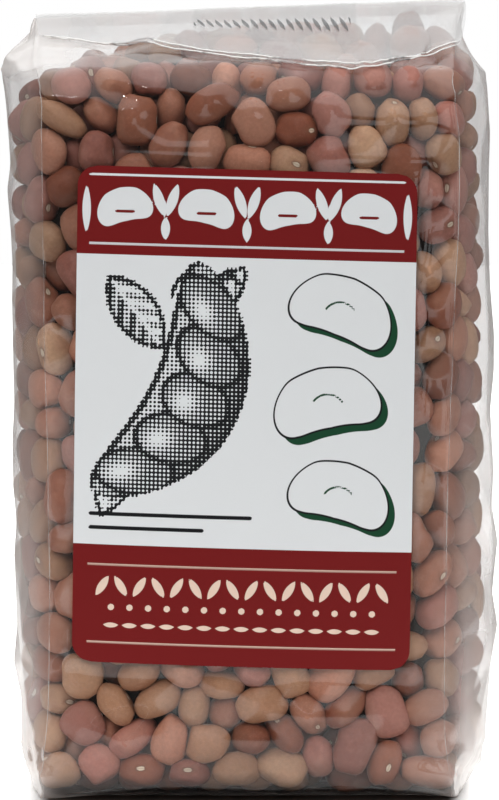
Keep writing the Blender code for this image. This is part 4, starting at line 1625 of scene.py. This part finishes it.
def studio():
    scene = bpy.context.scene
    scene.view_settings.view_transform = "Standard"
    scene.view_settings.look = "None"
    scene.view_settings.exposure = 0.0
    scene.view_settings.gamma = 1.0
    # sight goes through many sheets of film, one behind another
    scene.cycles.transparent_max_bounces = 24
    elevation = math.radians(3.6)
    target = Vector((0.0001, -0.0256, 0.0759))
    ahead = Vector((0, math.cos(elevation), -math.sin(elevation)))
    cam = bpy.data.cameras.new("camera")
    cam.lens = 192.0
    cam.sensor_width = 36.0
    cam.sensor_fit = "AUTO"
    cam.clip_start = 0.05
    cam.clip_end = 30
    obj = bpy.data.objects.new("camera", cam)
    obj.location = target - ahead * 0.80
    obj.rotation_euler = ahead.to_track_quat("-Z", "Y").to_euler()
    scene.collection.objects.link(obj)
    scene.camera = obj

    world = bpy.data.worlds.new("studio")
    scene.world = world
    world.use_nodes = True
    surroundings(world.node_tree)

    # soft lights; the film mirrors the surroundings, not them
    area_light("front", (-0.40, -1.30, 1.05), (0, 0, 0.08), (1.2, 0.8), 11.8)
    area_light("top", (-0.10, 0.05, 1.40), (0, 0, 0.08), (1.0, 1.0), 4.8)
    area_light("right_fill", (0.95, -0.75, 0.55), (0, 0, 0.08), (0.7, 0.9), 2.5)
    area_light("left_fill", (-1.00, -0.35, 0.45), (0, 0, 0.08), (0.6, 0.8), 1.7)
    area_light("back", (0.10, 0.95, 0.75), (0, 0, 0.10), (1.0, 0.6), 3.0)
    # a thin bright one gives the glints on the film's wrinkles
    area_light("spark", (-0.42, -0.70, 0.95), (0, 0, 0.08), (0.12, 0.012), 0.20, True)

    xs, ys = np.linspace(-2.6, 2.6, 9), np.linspace(-1.1, 3.2, 9)
    gx, gy = np.meshgrid(xs, ys)
    j, i = np.meshgrid(np.arange(8), np.arange(8), indexing="ij")
    quads = np.stack([j * 9 + i, j * 9 + i + 1, (j + 1) * 9 + i + 1, (j + 1) * 9 + i], -1).reshape(-1, 4)
    floor = mesh_object("floor", np.stack([gx, gy, gx * 0], -1).reshape(-1, 3) / MM, quads)
    mat, tree, shader = new_material("floor")
    shader.inputs["Roughness"].default_value = 0.6
    shader.inputs["Specular IOR Level"].default_value = 0.2
    spot = tree.nodes.new("ShaderNodeNewGeometry")
    axes = node(tree, "ShaderNodeSeparateXYZ")
    tree.links.new(spot.outputs["Position"], axes.inputs[0])
    # painted shadow: under the bag the floor is coloured near black; painted shade: in front a dark patch stands in for
    # a dark card; painted light: behind the bag it glows in place of the backdrop's light
    wide = smooth_step(tree, math_node(tree, "ABSOLUTE", axes.outputs[0]), 0.0375, 0.0410)
    deep = smooth_step(tree, math_node(tree, "ABSOLUTE", axes.outputs[1]), 0.0235, 0.0300)
    painted_front_shade = math_node(
        tree,
        "MULTIPLY",
        math_node(tree, "SUBTRACT", smooth_step(tree, axes.outputs[1], -0.13, -0.16), smooth_step(tree, axes.outputs[1], -0.68, -0.76)),
        smooth_step(tree, math_node(tree, "ABSOLUTE", axes.outputs[0]), 0.40, 0.30),
    )
    open_floor = math_node(tree, "MULTIPLY", math_node(tree, "MAXIMUM", wide, deep), math_node(tree, "SUBTRACT", 1.0, painted_front_shade))
    # painted shade: to the sides of what the camera sees of it, the floor is coloured dark from beside the bag
    # backwards
    strip = math_node(tree, "ADD", math_node(tree, "MULTIPLY", axes.outputs[1], 0.075), 0.080)
    outside = smooth_step(tree, math_node(tree, "SUBTRACT", math_node(tree, "ABSOLUTE", axes.outputs[0]), strip), 0.0, 0.05)
    outside = math_node(tree, "MULTIPLY", outside, smooth_step(tree, axes.outputs[1], -0.12, -0.04))
    lit = math_node(tree, "SUBTRACT", 1.0, outside)
    open_floor = math_node(tree, "MULTIPLY", open_floor, math_node(tree, "ADD", math_node(tree, "MULTIPLY", lit, 0.80), 0.20))
    tree.links.new(mix_colour(tree, open_floor, (0.02, 0.016, 0.014, 1), (0.90, 0.895, 0.885, 1)), shader.inputs["Base Color"])
    # painted light: the floor glows beside the bag and behind it, though it is no lamp
    shader.inputs["Emission Color"].default_value = (1, 1, 1, 1)
    beside = math_node(tree, "MULTIPLY", smooth_step(tree, math_node(tree, "ABSOLUTE", axes.outputs[0]), 0.0400, 0.0445), smooth_step(tree, axes.outputs[1], -0.09, -0.02))
    glow = math_node(tree, "MAXIMUM", math_node(tree, "MULTIPLY", smooth_step(tree, axes.outputs[1], 0.03, 0.45), 0.75), math_node(tree, "MULTIPLY", beside, 0.60))
    tree.links.new(math_node(tree, "MULTIPLY", glow, lit), shader.inputs["Emission Strength"])
    floor.data.materials.append(mat)


def surroundings(tree):
    """A white backdrop, dim above, dark in front with a softbox on the right and one on the left."""
    back = tree.nodes["Background"]
    way = tree.nodes.new("ShaderNodeTexCoord").outputs["Generated"]
    axes = node(tree, "ShaderNodeSeparateXYZ")
    tree.links.new(way, axes.inputs[0])
    x, y, z = axes.outputs
    az = math_node(tree, "ARCTAN2", x, math_node(tree, "MULTIPLY", y, -1.0))
    el = math_node(tree, "ARCSINE", z)

    def band(value, low, high, soft):
        return math_node(
            tree,
            "SUBTRACT",
            smooth_step(tree, value, low - soft, low + soft),
            smooth_step(tree, value, high - soft, high + soft),
        )

    def times(a, b):
        return math_node(tree, "MULTIPLY", a, b)

    side = math_node(tree, "ABSOLUTE", az)
    low, high = band(el, -0.14, 0.06, 0.02), band(el, 0.19, 0.50, 0.03)
    windows = math_node(tree, "ADD", low, high)
    parts = [
        # behind, and above
        (times(smooth_step(tree, side, 2.86, 3.00), smooth_step(tree, el, 0.40, 0.20)), 0.42),
        (times(smooth_step(tree, side, 2.60, 2.86), band(el, 0.32, 0.80, 0.10)), 0.92),
        (times(band(side, 1.90, 2.90, 0.08), smooth_step(tree, el, 0.80, 0.50)), 0.12),
        (smooth_step(tree, el, 0.70, 0.90), 0.92),
        # windows to the right, one in front, softboxes at the sides
        (times(band(az, 0.12, 0.30, 0.015), windows), 1.0),
        (times(band(az, 0.42, 0.64, 0.015), windows), 1.0),
        (times(band(az, 0.80, 1.12, 0.02), band(el, -0.30, 0.50, 0.03)), 0.9),
        (times(band(az, -0.22, -0.06, 0.02), band(el, 0.12, 0.30, 0.03)), 0.9),
        (times(band(az, -1.70, -1.25, 0.04), band(el, -0.45, 0.25, 0.06)), 0.6),
        (times(band(az, 1.35, 1.75, 0.04), band(el, -0.45, 0.55, 0.06)), 0.5),
    ]
    total = 0.02
    for mask, level in parts:
        total = math_node(tree, "ADD", total, times(mask, level)) if not isinstance(total, float) else math_node(tree, "ADD", times(mask, level), total)
    total = math_node(tree, "MINIMUM", total, 1.0)
    path = tree.nodes.new("ShaderNodeLightPath").outputs["Is Camera Ray"]
    strength = math_node(tree, "MAXIMUM", total, path)
    back.inputs["Color"].default_value = (1.0, 1.0, 1.0, 1)
    tree.links.new(strength, back.inputs["Strength"])


# ------------------------------------------------------------------ make it


def main():
    studio()
    c, rot, sizes = pack_beans()
    n = len(c)
    rng = np.random.default_rng(5)
    tones = np.stack([rng.beta(2.2, 2.2, n), rng.random(n)], -1)
    # painted shade: the beans at the upper left are made darker
    tones[(c[:, 0] < -6) & (c[:, 2] > 92), 1] *= 0.3
    depth, _ = inside(c)
    depth = np.minimum(depth, heap_top(c))
    outer = depth < 7.0
    second = (depth >= 7.0) & ((depth < 13.0) | (c[:, 2] > 120))
    kind = rng.choice(len(BEAN_KINDS), n, p=[k[1] for k in BEAN_KINDS])
    pieces = []
    for k, (name, share, light, mid, deep, blotch) in enumerate(BEAN_KINDS):
        mat = bean_material(name, light, mid, deep, blotch)
        fine = (np.nonzero((kind == k) & outer)[0], 15, 22, 100 + k)
        plain = (np.nonzero((kind == k) & second)[0], 9, 14, 200 + k)
        pieces.append(bean_piece(name, (fine, plain), c, rot, sizes, tones, mat))
    for piece in pieces:
        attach(piece, "root")
    deps = bpy.context.evaluated_depsgraph_get()
    trees = [BVHTree.FromObject(p, deps) for p in pieces]
    shape = film_surface(trees)
    film = film_object(*shape[:5], film_material("clear film", 0.006, 0.03, layers=1.6, painted_rim_level=0.55, shade=(0.97, 0.925, 0.895, 1)))
    sheets, edges = flap_sheets(shape)
    milky = film_material("folded film", 0.010, 0.035, rough=0.07, layers=0.62)
    flap = [slab("flap_under", sheets[0], 0.08, milky), slab("flap_upper", sheets[1], 0.08, milky)]
    seal = seal_object(sheets[1], shape)
    label = label_object(label_material())
    core = core_object(shade_core_material())
    folds = folds_object(fold_lines(shape, edges), fold_material())
    for piece, slot in [(film, "clear_film"), (seal, "clear_film"), (label, "label_paper"), (core, "beans"), (folds, "clear_film")] + [(f, "clear_film") for f in flap]:
        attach(piece, "root")
    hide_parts("bag")
    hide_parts("label_front")
    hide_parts("seal_strip")


main()
